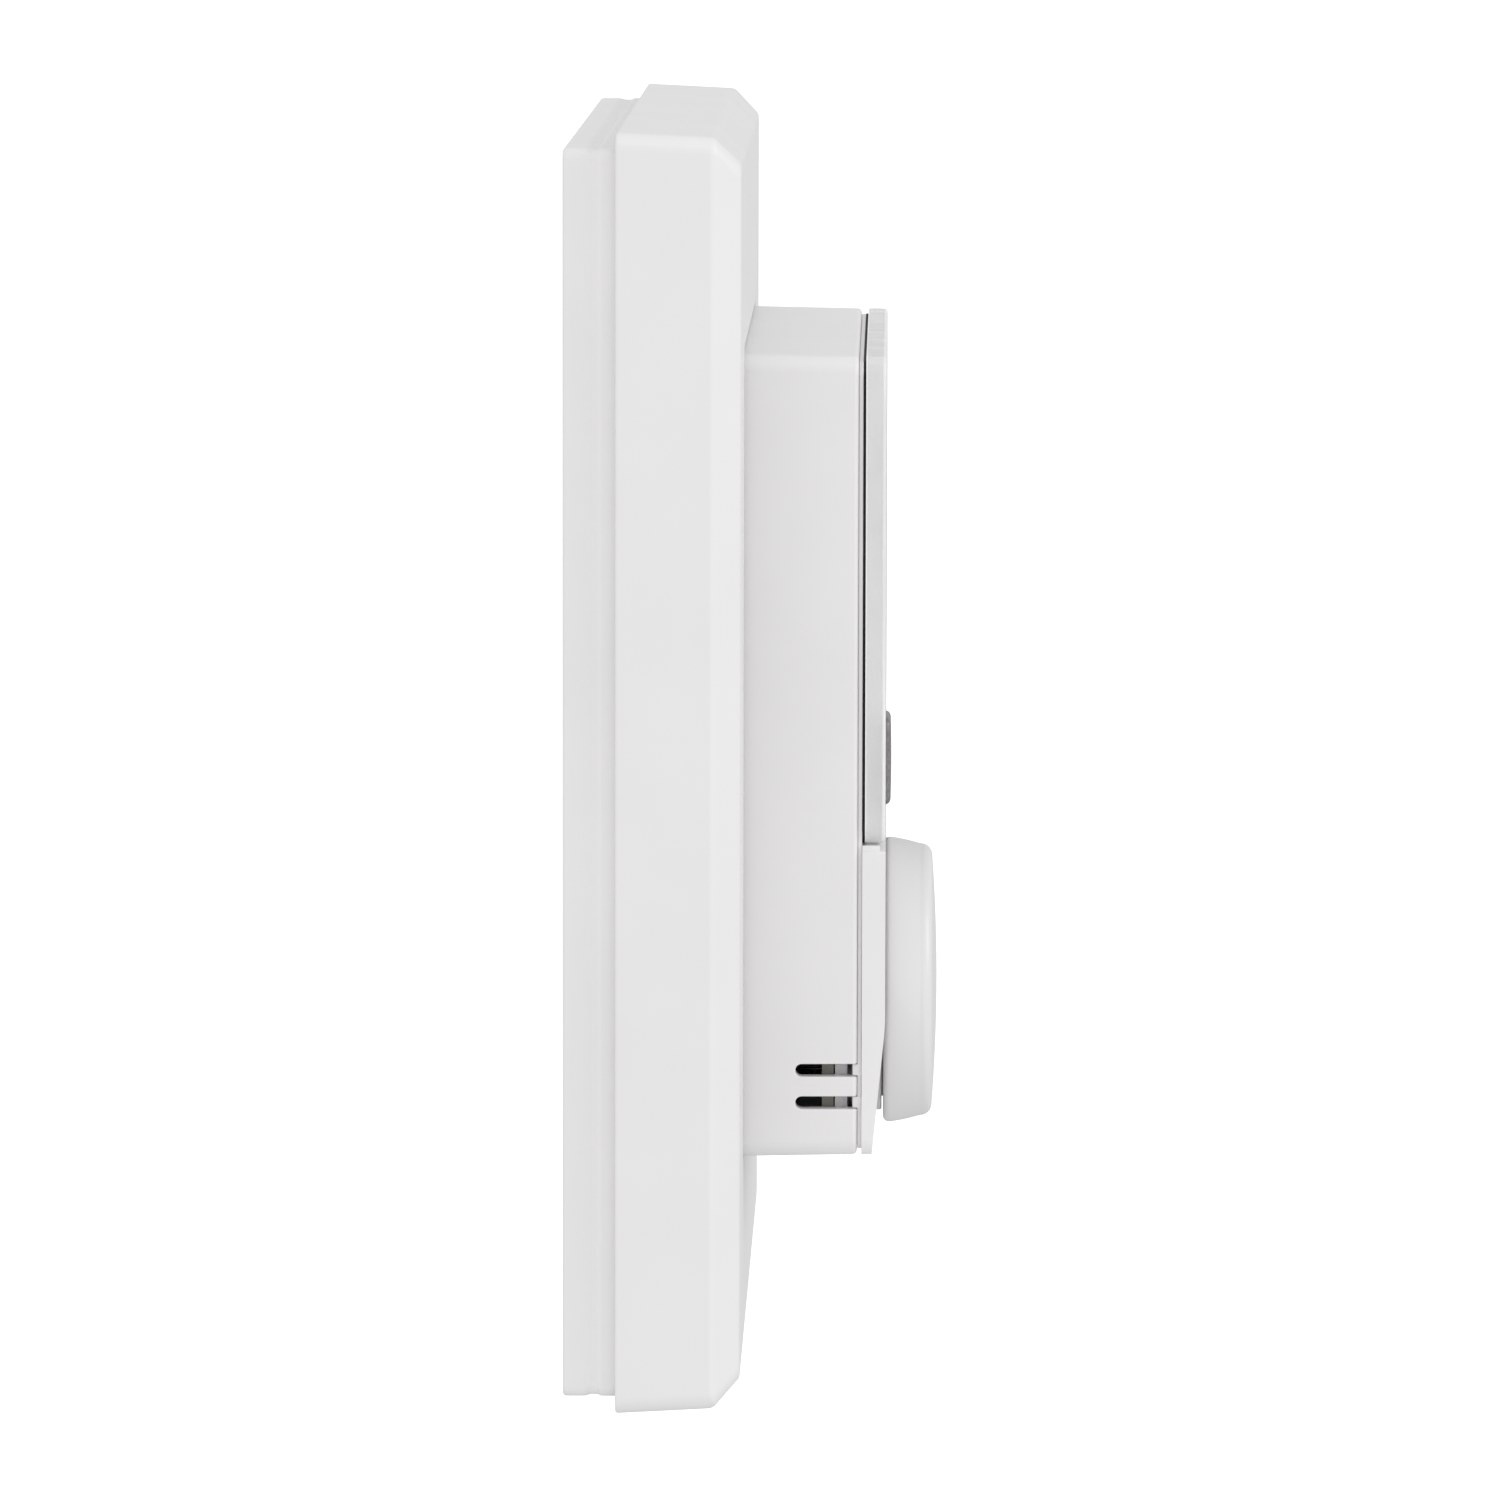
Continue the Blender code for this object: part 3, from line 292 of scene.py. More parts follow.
def rectangle_rings(base, profile, steps=5):
    """Rings of a body that is a rectangle all the way through. base is (width, height, centre), and
    profile is a path of (inset from the base, depth, edge rounding, corner radius)."""
    width, height, centre = base
    rings = []
    for inset, depth, index in softened([point[:3] for point in profile], steps):
        corner = max(profile[index][3] - (inset - profile[index][0]), LEAST_RADIUS)
        outline = rounded_rectangle(width - 2 * inset, height - 2 * inset, corner, centre)
        rings.append([(x, depth, z) for x, z in outline])
    return rings


# ---- meshes

class Shape:
    """A closed mesh being put together from points (x, depth, z) in millimetres."""

    def __init__(self):
        self.mesh = bmesh.new()

    def skin(self, rings, closed=False):
        """Joins rings of points by faces, and caps both ends unless the rings close on themselves."""
        rows = [[self.mesh.verts.new((x * METRES, -depth * METRES, z * METRES))
                 for x, depth, z in ring] for ring in rings]
        pairs = list(zip(rows, rows[1:]))
        if closed:
            pairs.append((rows[-1], rows[0]))
        for one, other in pairs:
            count = max(len(one), len(other))
            for index in range(count):
                following = (index + 1) % count
                corners = [one[index % len(one)], one[following % len(one)],
                           other[following % len(other)], other[index % len(other)]]
                self.mesh.faces.new(list(dict.fromkeys(corners)))
        if not closed:
            for row in (rows[0], rows[-1]):
                if len(row) > 2:
                    self.mesh.faces.new(row)
        return self

    def loft(self, sections, closed=False):
        """Sections of (outline in x and z, depth), from one end to the other."""
        return self.skin([[(x, depth, z) for x, z in outline] for outline, depth in sections], closed)

    def prism(self, outline, depths):
        return self.loft([(outline, depths[0]), (outline, depths[1])])

    def box(self, x, depths, z):
        return self.prism([(x[0], z[0]), (x[1], z[0]), (x[1], z[1]), (x[0], z[1])], depths)

    def side_prism(self, outline, x):
        """Outline of (depth, z) points, drawn out along X."""
        return self.skin([[(place, depth, z) for depth, z in outline] for place in x])

    def turned(self, profile, centre, steps=96, closed=False):
        """Profile of (radius, depth) points, turned about the line through centre (x, z)."""
        rings = []
        for radius, depth in profile:
            if radius < 1e-6:
                rings.append([(centre[0], depth, centre[1])])
            else:
                rings.append([(x, depth, z) for x, z in circle(radius, centre, steps)])
        return self.skin(rings, closed)

    def finish(self, name):
        bmesh.ops.recalc_face_normals(self.mesh, faces=self.mesh.faces)
        data = bpy.data.meshes.new(name)
        self.mesh.to_mesh(data)
        self.mesh.free()
        piece = bpy.data.objects.new(name, data)
        bpy.context.scene.collection.objects.link(piece)
        return piece


def settle(piece):
    """Turns a piece's modifiers into its mesh."""
    graph = bpy.context.evaluated_depsgraph_get()
    graph.update()
    made = bpy.data.meshes.new_from_object(piece.evaluated_get(graph))
    piece.modifiers.clear()
    old = piece.data
    piece.data = made
    made.name = piece.name
    bpy.data.meshes.remove(old)


def carve(piece, shapes, operation="DIFFERENCE"):
    """Cuts shapes out of a piece, or joins them to it, one Boolean after another."""
    helpers = []
    for shape in shapes:
        helper = shape.finish("helper")
        modifier = piece.modifiers.new("carve", "BOOLEAN")
        modifier.operation = operation
        modifier.solver = "EXACT"
        modifier.object = helper
        helpers.append(helper)
    settle(piece)
    for helper in helpers:
        data = helper.data
        bpy.data.objects.remove(helper)
        bpy.data.meshes.remove(data)


def soften_edges(piece, width=EDGE_ROUND, segments=EDGE_FACES, angle=EDGE_ANGLE):
    """Rounds the edges that are sharper than an angle."""
    bevel = piece.modifiers.new("edges", "BEVEL")
    bevel.width = width * METRES
    bevel.segments = segments
    bevel.limit_method = "ANGLE"
    bevel.angle_limit = math.radians(angle)
    bevel.use_clamp_overlap = True
    bevel.miter_outer = "MITER_ARC"
    settle(piece)


def shade(piece, angle=40):
    """Smooth shading with flat faces kept flat."""
    piece.data.shade_smooth()
    piece.data.set_sharp_from_angle(angle=math.radians(angle))
    normals = piece.modifiers.new("normals", "WEIGHTED_NORMAL")
    normals.keep_sharp = True
    return piece


# ---- materials

class Finish:
    """Builds one procedural material, node by node."""

    def __init__(self, name):
        self.material = bpy.data.materials.new(name)
        self.material.use_nodes = True
        self.tree = self.material.node_tree
        self.shader = self.tree.nodes["Principled BSDF"]
        self.place = self.add("ShaderNodeTexCoord").outputs["Object"]

    def add(self, kind, inputs=None, **settings):
        made = self.tree.nodes.new(kind)
        for key, value in settings.items():
            setattr(made, key, value)
        for key, value in (inputs or {}).items():
            made.inputs[key].default_value = value
        return made

    def link(self, output, socket):
        self.tree.links.new(output, socket)

    def noise(self, size, detail=2.0, roughness=0.5, stretch=(1, 1, 1)):
        """Noise whose features are about this many millimetres across."""
        source = self.place
        if tuple(stretch) != (1, 1, 1):
            mapping = self.add("ShaderNodeMapping", {"Scale": stretch})
            self.link(source, mapping.inputs["Vector"])
            source = mapping.outputs["Vector"]
        made = self.add("ShaderNodeTexNoise", {"Scale": 1 / (size * METRES), "Detail": detail,
                                               "Roughness": roughness})
        self.link(source, made.inputs["Vector"])
        return made.outputs["Fac"]

    def cells(self, size):
        """Distance to the nearest of scattered points, about this many millimetres apart."""
        made = self.add("ShaderNodeTexVoronoi", {"Scale": 1 / (size * METRES)}, feature="F1")
        self.link(self.place, made.inputs["Vector"])
        return made.outputs["Distance"]

    def remap(self, value, low, high, source=(0.3, 0.7)):
        made = self.add("ShaderNodeMapRange", {"From Min": source[0], "From Max": source[1],
                                               "To Min": low, "To Max": high})
        self.link(value, made.inputs["Value"])
        return made.outputs["Result"]

    def math(self, operation, one, other):
        made = self.add("ShaderNodeMath", operation=operation)
        for value, socket in ((one, made.inputs[0]), (other, made.inputs[1])):
            if isinstance(value, (int, float)):
                socket.default_value = value
            else:
                self.link(value, socket)
        return made.outputs[0]

    def mix(self, amount, one, other):
        made = self.add("ShaderNodeMix", data_type="RGBA")
        self.link(amount, made.inputs[0])
        for value, socket in ((one, made.inputs[6]), (other, made.inputs[7])):
            if isinstance(value, tuple):
                socket.default_value = (*value, 1.0)
            else:
                self.link(value, socket)
        return made.outputs[2]

    def bump(self, height, distance, under=None):
        made = self.add("ShaderNodeBump", {"Distance": distance * METRES, "Strength": 1.0})
        self.link(height, made.inputs["Height"])
        if under:
            self.link(under, made.inputs["Normal"])
        return made.outputs["Normal"]

    def edge_mask(self, radius):
        """Near 1 along sharp outer and inner edges, and 0 on flat ground."""
        bevel = self.add("ShaderNodeBevel", {"Radius": radius * METRES}, samples=4)
        normal = self.add("ShaderNodeNewGeometry").outputs["Normal"]
        product = self.add("ShaderNodeVectorMath", operation="DOT_PRODUCT")
        self.link(bevel.outputs["Normal"], product.inputs[0])
        self.link(normal, product.inputs[1])
        return self.remap(product.outputs["Value"], 1.0, 0.0, (0.80, 0.995))

    def feed(self, **outputs):
        """Links node outputs to the shader's own sockets."""
        names = {"colour": "Base Color", "roughness": "Roughness", "normal": "Normal"}
        for key, output in outputs.items():
            self.link(output, self.shader.inputs[names[key]])

    def set(self, **values):
        names = {"metallic": "Metallic", "ior": "IOR", "coat": "Coat Weight",
                 "coat_roughness": "Coat Roughness", "transmission": "Transmission Weight",
                 "subsurface": "Subsurface Weight"}
        for key, value in values.items():
            self.shader.inputs[names[key]].default_value = value


def tinted(colour, factor):
    return tuple(min(1.0, channel * factor) for channel in colour)


def plastic(name, colour, roughness=0.36, grain=0.09, relief=0.0012, mottle=0.012, edge_highlight=0.05,
            sheen_spread=0.03, **shader_values):
    """Moulded plastic: fine eroded grain, faint flow mottling, edges a little smoother, and a painted
    highlight that lightens the edges.
    """
    made = Finish(name)
    cloud = made.remap(made.noise(9.0, 3.0), 0.0, 1.0)
    colour_out = made.mix(cloud, tinted(colour, 1 - mottle), tinted(colour, 1 + mottle))
    edge = made.edge_mask(0.2)
    # Colour lightened along the edges: a painted highlight.
    highlight_share = made.math("MULTIPLY", edge, edge_highlight)
    colour_out = made.mix(highlight_share, colour_out, tinted(colour, 1.12))
    made.feed(colour=colour_out)
    rough = made.remap(made.noise(1.7, 4.0), roughness - sheen_spread, roughness + sheen_spread)
    polish = made.math("MULTIPLY", edge, 0.10)
    made.feed(roughness=made.math("SUBTRACT", rough, polish))
    fine = made.bump(made.noise(grain, 2.0, 0.6), relief)
    wave = made.bump(made.noise(6.0, 1.0), 0.0012, under=fine)
    made.feed(normal=wave)
    made.set(**shader_values)
    return made.material


def painted_silver(name, colour):
    """Silver-grey lacquer on plastic with metal flakes, whose speckle is partly the lacquer's own and
    partly painted glints in the colour.
    """
    made = Finish(name)
    # bright specks at the flakes: painted glints over the lacquer's own speckle
    flake_glint = made.remap(made.cells(0.11), 1.25, 0.78, (0.05, 0.65))
    cloud = made.remap(made.noise(0.35, 4.0, 0.7), 0.82, 1.16)
    value = made.math("MULTIPLY", flake_glint, cloud)
    colour_out = made.mix(made.remap(value, 0.0, 1.0, (0.65, 1.4)), tinted(colour, 0.74),
                          tinted(colour, 1.45))
    made.feed(colour=colour_out, roughness=made.remap(made.noise(0.3, 3.0), 0.34, 0.52))
    made.feed(normal=made.bump(made.noise(0.12, 3.0, 0.7), 0.006))
    made.set(metallic=0.35)
    return made.material


def clear_plastic(name, roughness, transmission, relief=0.0015):
    """Acrylic: polished on its faces, and finely frosted where its edge was cut."""
    made = Finish(name)
    made.shader.inputs["Base Color"].default_value = (0.99, 0.99, 0.99, 1.0)
    made.feed(roughness=made.remap(made.noise(2.5, 3.0), roughness * 0.7, roughness * 1.3))
    made.feed(normal=made.bump(made.noise(1.4, 2.0), relief))
    made.set(transmission=transmission, ior=1.49)
    return made.material


def metal(name, colour, roughness=0.34, brush=(1, 1, 12), spangle=0.10, relief=0.002):
    """Plated or drawn metal: fine brush lines and a cloudy plating."""
    made = Finish(name)
    cloud = made.remap(made.noise(1.8, 4.0, 0.65), 0.0, 1.0)
    made.feed(colour=made.mix(cloud, tinted(colour, 1 - spangle), tinted(colour, 1 + spangle)))
    lines = made.noise(0.25, 2.0, 0.5, brush)
    made.feed(roughness=made.remap(lines, roughness - 0.08, roughness + 0.12))
    made.feed(normal=made.bump(lines, relief))
    made.set(metallic=1.0)
    return made.material


def circuit_board(name, mask, track):
    """Glass-epoxy board: solder mask with copper tracks showing through it, and bare laminate on its sawn
    edges.
    """
    made = Finish(name)
    tracks = made.add("ShaderNodeTexBrick", {"Scale": 1 / (9.0 * METRES), "Mortar Size": 0.045,
                                             "Brick Width": 0.8, "Row Height": 0.22})
    turn = made.add("ShaderNodeMapping", {"Rotation": (math.radians(90), 0, 0)})
    made.link(made.place, turn.inputs["Vector"])
    made.link(turn.outputs["Vector"], tracks.inputs["Vector"])
    lane = made.remap(tracks.outputs["Fac"], 0.0, 1.0, (0.2, 0.8))
    weave = made.remap(made.noise(0.35, 2.0), 0.9, 1.1)
    colour_out = made.mix(lane, mask, track)
    shaded = made.mix(made.remap(weave, 0.0, 0.25, (0.9, 1.1)), colour_out, tinted(mask, 0.6))
    normal = made.add("ShaderNodeSeparateXYZ")
    made.link(made.add("ShaderNodeNewGeometry").outputs["Normal"], normal.inputs[0])
    sawn = made.math("ABSOLUTE", normal.outputs["Y"], 0.0)
    laminate = made.mix(weave, (0.20, 0.195, 0.16), (0.27, 0.26, 0.22))
    shaded = made.mix(made.remap(sawn, 1.0, 0.0, (0.3, 0.6)), shaded, laminate)
    made.feed(colour=shaded, roughness=made.remap(made.noise(0.6, 3.0), 0.28, 0.42))
    made.feed(normal=made.bump(lane, 0.02))
    return made.material


def porous(name, colour, size=0.08, relief=0.02, roughness=0.85):
    """Foam, rubber or ferrite: dull and pitted."""
    made = Finish(name)
    depth = made.remap(made.cells(size), 0.0, 1.0, (0.1, 0.6))
    # Colour follows the pits' depth, darker deep in them: painted shade in the pits, lighter on their rims.
    made.feed(colour=made.mix(depth, tinted(colour, 0.6), tinted(colour, 1.5)))
    made.feed(roughness=made.remap(made.noise(0.5, 3.0), roughness - 0.08, roughness + 0.05))
    made.feed(normal=made.bump(depth, relief))
    return made.material


def display_glass(name):
    """Polarised display glass: a pale grey-green ground under a thin gloss."""
    made = Finish(name)
    cloud = made.remap(made.noise(14.0, 2.0), 0.0, 1.0)
    ground = made.mix(cloud, (0.50, 0.545, 0.49), (0.54, 0.58, 0.53))
    dots = made.remap(made.noise(0.05, 1.0), 0.96, 1.0)
    shaded = made.mix(dots, tinted((0.5, 0.55, 0.5), 0.9), ground)
    made.feed(colour=shaded, roughness=made.remap(made.noise(3.0, 2.0), 0.10, 0.20))
    made.set(coat=0.5, coat_roughness=0.05)
    return made.material


def make_materials():
    white = (0.806, 0.796, 0.798)
    return {
        "box": plastic("box_white", tinted(white, 0.985), 0.42, relief=0.0016),
        "frame": plastic("frame_white", white, 0.34),
        # the casing's edges get a stronger painted highlight
        "casing": plastic("casing_white", tinted(white, 1.02), 0.38, edge_highlight=0.7),
        "carrier": plastic("carrier_white", tinted(white, 1.03), 0.45),
        "plate": plastic("plate_white", tinted(white, 1.05), 0.34),
        "knob": plastic("knob_white", tinted(white, 0.94), 0.3, relief=0.0006, mottle=0.006,
                        sheen_spread=0.01),
        "core": plastic("core_grey", (0.88, 0.875, 0.875), 0.5, relief=0.002),
        "button": painted_silver("button_silver", (0.238, 0.228, 0.220)),
        "lens": clear_plastic("lens_clear", 0.04, 1.0),
        "lens_edge": clear_plastic("lens_edge", 0.5, 0.48, 0.0003),
        "lens_rim": clear_plastic("lens_rim", 0.5, 0.3, 0.0003),
        "print": plastic("print_white", (0.97, 0.965, 0.965), 0.5, grain=0.05, relief=0.0005),
        "gasket": porous("gasket_black", (0.006, 0.006, 0.006)),
        "holder": plastic("holder_grey", (0.90, 0.90, 0.905), 0.5, relief=0.002),
        "cover": plastic("cover_grey", (0.50, 0.505, 0.51), 0.5, relief=0.003),
        "rear": plastic("rear_grey", (0.20, 0.205, 0.21), 0.5, relief=0.003),
        "black": plastic("black_moulding", (0.014, 0.014, 0.015), 0.45, relief=0.002, mottle=0.1),
        "chip": plastic("chip_epoxy", (0.012, 0.012, 0.013), 0.55, relief=0.004, mottle=0.15),
        "green": plastic("terminal_green", (0.035, 0.22, 0.10), 0.42, relief=0.002, mottle=0.04),
        "relay": plastic("relay_blue", (0.02, 0.09, 0.32), 0.3, relief=0.001, mottle=0.04),
        "film": plastic("film_yellow", (0.62, 0.42, 0.05), 0.4, relief=0.002, mottle=0.05),
        "varistor": plastic("varistor_blue", (0.015, 0.07, 0.22), 0.35, relief=0.01, mottle=0.08),
        "ferrite": porous("ferrite_grey", (0.03, 0.03, 0.032), 0.12, 0.01, 0.6),
        "rubber": porous("rubber_dark", (0.03, 0.03, 0.034), 0.15, 0.006, 0.75),
        "glass": display_glass("display_glass_grey"),
        "segments": plastic("segment_black", (0.012, 0.013, 0.015), 0.4, relief=0.0003, mottle=0.1),
        "diffuser": plastic("diffuser_white", (0.84, 0.84, 0.80), 0.3, subsurface=0.15),
        "steel": metal("steel_zinc", (0.62, 0.63, 0.66)),
        "screw": metal("steel_screw", (0.58, 0.59, 0.62), 0.3, (1, 1, 1)),
        "spring": metal("steel_spring", (0.55, 0.54, 0.52), 0.28, (1, 1, 14)),
        "can": metal("can_aluminium", (0.74, 0.75, 0.77), 0.3, (1, 14, 1)),
        "brass": metal("cage_brass", (0.72, 0.54, 0.26), 0.32, (14, 1, 1)),
        "copper": metal("coil_copper", (0.72, 0.32, 0.15), 0.28, (1, 1, 10), relief=0.02),
        "dark_board": circuit_board("board_dark", (0.012, 0.022, 0.022), (0.03, 0.05, 0.045)),
        "green_board": circuit_board("board_green", (0.01, 0.10, 0.035), (0.03, 0.19, 0.07)),
    }


def dress(piece, material):
    piece.data.materials.clear()
    piece.data.materials.append(material)


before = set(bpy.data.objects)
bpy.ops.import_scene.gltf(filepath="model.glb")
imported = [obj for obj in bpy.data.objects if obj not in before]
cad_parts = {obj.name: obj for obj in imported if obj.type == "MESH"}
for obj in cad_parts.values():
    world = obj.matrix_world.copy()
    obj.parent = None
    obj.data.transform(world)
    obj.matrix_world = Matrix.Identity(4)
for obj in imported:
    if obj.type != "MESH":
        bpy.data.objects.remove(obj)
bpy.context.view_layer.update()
finish = make_materials()


def keep(piece, body, nodes, material):
    """Dresses a finished piece, puts it on its body and hides the nodes it stands for."""
    dress(piece, finish[material])
    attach(piece, body)
    if nodes:
        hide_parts(*nodes)


# ---- camera, light and floor

def make_camera():
    data = bpy.data.cameras.new("camera")
    data.sensor_width = SENSOR_WIDTH
    data.lens = CAMERA_LENS
    data.clip_start, data.clip_end = CAMERA_CLIP
    camera = bpy.data.objects.new("camera", data)
    bpy.context.scene.collection.objects.link(camera)
    forward = Vector((math.cos(CAMERA_YAW) * math.cos(CAMERA_PITCH),
                      math.sin(CAMERA_YAW) * math.cos(CAMERA_PITCH), math.sin(CAMERA_PITCH)))
    level = forward.cross(Vector((0, 0, 1))).normalized()
    upward = level.cross(forward)
    right = level * math.cos(CAMERA_ROLL) + upward * math.sin(CAMERA_ROLL)
    up = upward * math.cos(CAMERA_ROLL) - level * math.sin(CAMERA_ROLL)
    turn = Matrix((right, up, -forward)).transposed().to_4x4()
    camera.matrix_world = Matrix.Translation(Vector(CAMERA_PLACE) * METRES) @ turn
    bpy.context.scene.camera = camera


def make_world():
    """A soft box all round: a dome whose brightness rises evenly towards the key side."""
    world = bpy.data.worlds.new("studio")
    bpy.context.scene.world = world
    world.use_nodes = True
    nodes = world.node_tree.nodes
    link = world.node_tree.links.new
    background = nodes["Background"]
    place = nodes.new("ShaderNodeTexCoord")
    towards = nodes.new("ShaderNodeVectorMath")
    towards.operation = "DOT_PRODUCT"
    towards.inputs[1].default_value = DOME_SLOPE
    link(place.outputs["Generated"], towards.inputs[0])
    level = nodes.new("ShaderNodeMath")
    level.inputs[1].default_value = DOME_LEVEL
    link(towards.outputs["Value"], level.inputs[0])
    link(level.outputs[0], background.inputs["Strength"])
    background.inputs["Color"].default_value = (*DOME_COLOUR, 1.0)
    seen = nodes.new("ShaderNodeBackground")
    seen.inputs["Color"].default_value = (1, 1, 1, 1)
    seen.inputs["Strength"].default_value = BACKDROP_LEVEL
    path = nodes.new("ShaderNodeLightPath")
    mix = nodes.new("ShaderNodeMixShader")
    link(path.outputs["Is Camera Ray"], mix.inputs[0])
    link(background.outputs[0], mix.inputs[1])
    link(seen.outputs[0], mix.inputs[2])
    link(mix.outputs[0], nodes["World Output"].inputs["Surface"])


def make_softbox(name, place, size, power):
    data = bpy.data.lights.new(name, "AREA")
    data.shape = "RECTANGLE"
    data.size, data.size_y = size
    data.energy = power
    data.color = SOFTBOX_COLOUR
    light = bpy.data.objects.new(name, data)
    light.location = place
    light.rotation_euler = (Vector(SOFTBOX_AIM) - Vector(place)).to_track_quat("-Z", "Y").to_euler()
    bpy.context.scene.collection.objects.link(light)


def make_floor():
    """A pale table far below the object, bright enough to read as plain white."""
    reach = FLOOR_REACH
    corners = ((-reach, -reach), (reach, -reach), (reach, reach), (-reach, reach))
    shape = Shape().skin([[(x, depth, z) for x, depth in corners]
                          for z in (FLOOR_LEVEL, FLOOR_LEVEL - FLOOR_THICKNESS)])
    floor = shape.finish("floor")
    made = Finish("floor_white")
    cloud = made.remap(made.noise(400.0), 0.0, 1.0)
    made.feed(colour=made.mix(cloud, *FLOOR_TONES))
    made.shader.inputs["Roughness"].default_value = 0.8
    made.shader.inputs["Emission Color"].default_value = (1, 1, 1, 1)
    made.shader.inputs["Emission Strength"].default_value = FLOOR_GLOW
    dress(floor, made.material)
    floor.visible_diffuse = False
    floor.visible_glossy = False
    floor.visible_transmission = False


# ---- wall side

def build_wall_box():
    area = Extent("back_box")
    base = (area.width, area.height, (0, 0))
    rim = (area.width - BOX_RIM_SIDE) / 2
    inner = (area.width - BOX_INNER_SIDE) / 2
    front = area.d[1]
    corner = BOX_CORNER
    profile = [(inner, BOX_FLOOR, 0, corner), (inner, front, 0.2, corner),
               (rim, front, BOX_EDGE, corner), (rim, BOX_BAND_FRONT, 0, corner),
               (0, BOX_BAND_FRONT, 0, corner),
               *[(inset, depth, BOX_EDGE, corner) for inset, depth in BOX_GROOVE],
               (0, 0, BOX_EDGE, corner), (BOX_BACK_LAND, 0, 0, corner * 0.6)]
    box = Shape().skin(rectangle_rings(base, profile)).finish("wall_box")
    posts = Shape()
    holes = Shape()
    for x in SUPPORT_POSTS:
        for z in SUPPORT_POSTS:
            posts.turned(SUPPORT_POST, (x, z), 48)
            holes.turned(SUPPORT_BORE, (x, z), 32)
            holes.turned(POST_DISH, (x, z), 48)
    for x in (-BOARD_SCREW[0], BOARD_SCREW[0]):
        for z in (BOARD_SCREW[1], BOARD_SCREW_TOP):
            posts.turned(BOARD_POST, (x, z), 40)
            holes.turned(BOARD_BORE, (x, z), 24)
    for x in (-WALL_SLOT_X, WALL_SLOT_X):
        holes.prism(rounded_rectangle(*WALL_SLOT, WALL_SLOT[0] / 2 - 0.01, (x, 0)), THROUGH_FLOOR)
        outlines = [rounded_rectangle(*size, (x, 0))
                    for size in (WALL_SLOT_SEAT, WALL_SLOT_SEAT, WALL_SLOT_THROAT)]
        holes.loft(list(zip(outlines, WALL_SLOT_DEPTHS)))
    holes.prism(rounded_rectangle(*CABLE_HOLE, CABLE_HOLE_CORNER, (0, CABLE_HOLE_Z)), THROUGH_FLOOR)
    carve(box, [posts], "UNION")
    carve(box, [holes])
    carve(box, back_relief())
    soften_edges(box)
    keep(shade(box), "base", ["back_box"], "box")


def back_relief():
    """Shallow marks that moulding leaves on the wall face: a groove round the edge, knock-outs and pins."""
    half, width, depth = BACK_GROOVE
    path = ((half, -1), (half, depth), (half - width, depth), (half - width, -1))
    rings = [[(x, level, z) for x, z in rounded_rectangle(2 * size, 2 * size, BACK_GROOVE_CORNER)]
             for size, level in path]
    grooves = Shape().skin(rings, closed=True)
    width, depth = KNOCK_OUT_GROOVE
    for x, z, radius in KNOCK_OUTS:
        grooves.turned([(radius, -1), (radius, depth), (radius - width, depth), (radius - width, -1)],
                       (x, z), 72, closed=True)
    marks = Shape()
    for place in EJECTOR_MARKS:
        marks.turned(EJECTOR_MARK, place, 40)
    return [grooves, marks]


def build_frame():
    area = Extent("frame_cover")
    base = (area.width, area.height, (0, 0))
    opening = (FRAME_OPENING, FRAME_OPENING, (0, MODULE_Z))
    front = area.d[1]
    inner = (area.width - FRAME_INNER_SIDE) / 2
    face = (area.width - FRAME_OPENING) / 2
    outside = [(inner, FRAME_ROOF, 0, FRAME_CORNER), (inner, FRAME_BACK, 0.1, FRAME_CORNER),
               (0, FRAME_BACK, 0.22, FRAME_CORNER), (FRAME_DRAFT, FRAME_SHOULDER, 0.8, FRAME_CORNER),
               (FRAME_DRAFT + FRAME_CHAMFER, front, 0.6, FRAME_CORNER * 0.8),
               (face, front, 0, FRAME_OPENING_CORNER)]
    inside = [(-1, front, 0, FRAME_OPENING_CORNER), (0, front, 0.28, FRAME_OPENING_CORNER),
              (0, FRAME_LEDGE, 0.1, FRAME_OPENING_CORNER),
              (-FRAME_LEDGE_WIDTH, FRAME_LEDGE, 0.1, FRAME_LEDGE_CORNER),
              (-FRAME_LEDGE_WIDTH, FRAME_ROOF, 0, FRAME_LEDGE_CORNER)]
    rings = rectangle_rings(base, outside, 7)[:-1] + rectangle_rings(opening, inside)[1:]
    shell = Shape().skin(rings, closed=True).finish("frame_shell")
    keep(shade(shell), "base", ["frame_cover"], "frame")
    tip, stem, outer = HOOK_X
    root = FRAME_ROOF + 0.2
    shape = Shape()
    for side in (-1, 1):
        outline = [(side * tip, HOOK_BACK - HOOK_TIP), (side * outer, HOOK_BACK - HOOK_TIP),
                   (side * outer, root), (side * stem, root), (side * stem, HOOK_BACK),
                   (side * tip, HOOK_BACK)]
        shape.skin([[(x, depth, z) for x, depth in outline] for z in (-HOOK_HALF, HOOK_HALF)])
    hooks = shape.finish("frame_hooks")
    soften_edges(hooks)
    keep(shade(hooks), "base", [], "frame")


# ---- front module

def module_base(side):
    return (side, side, (0, MODULE_Z))


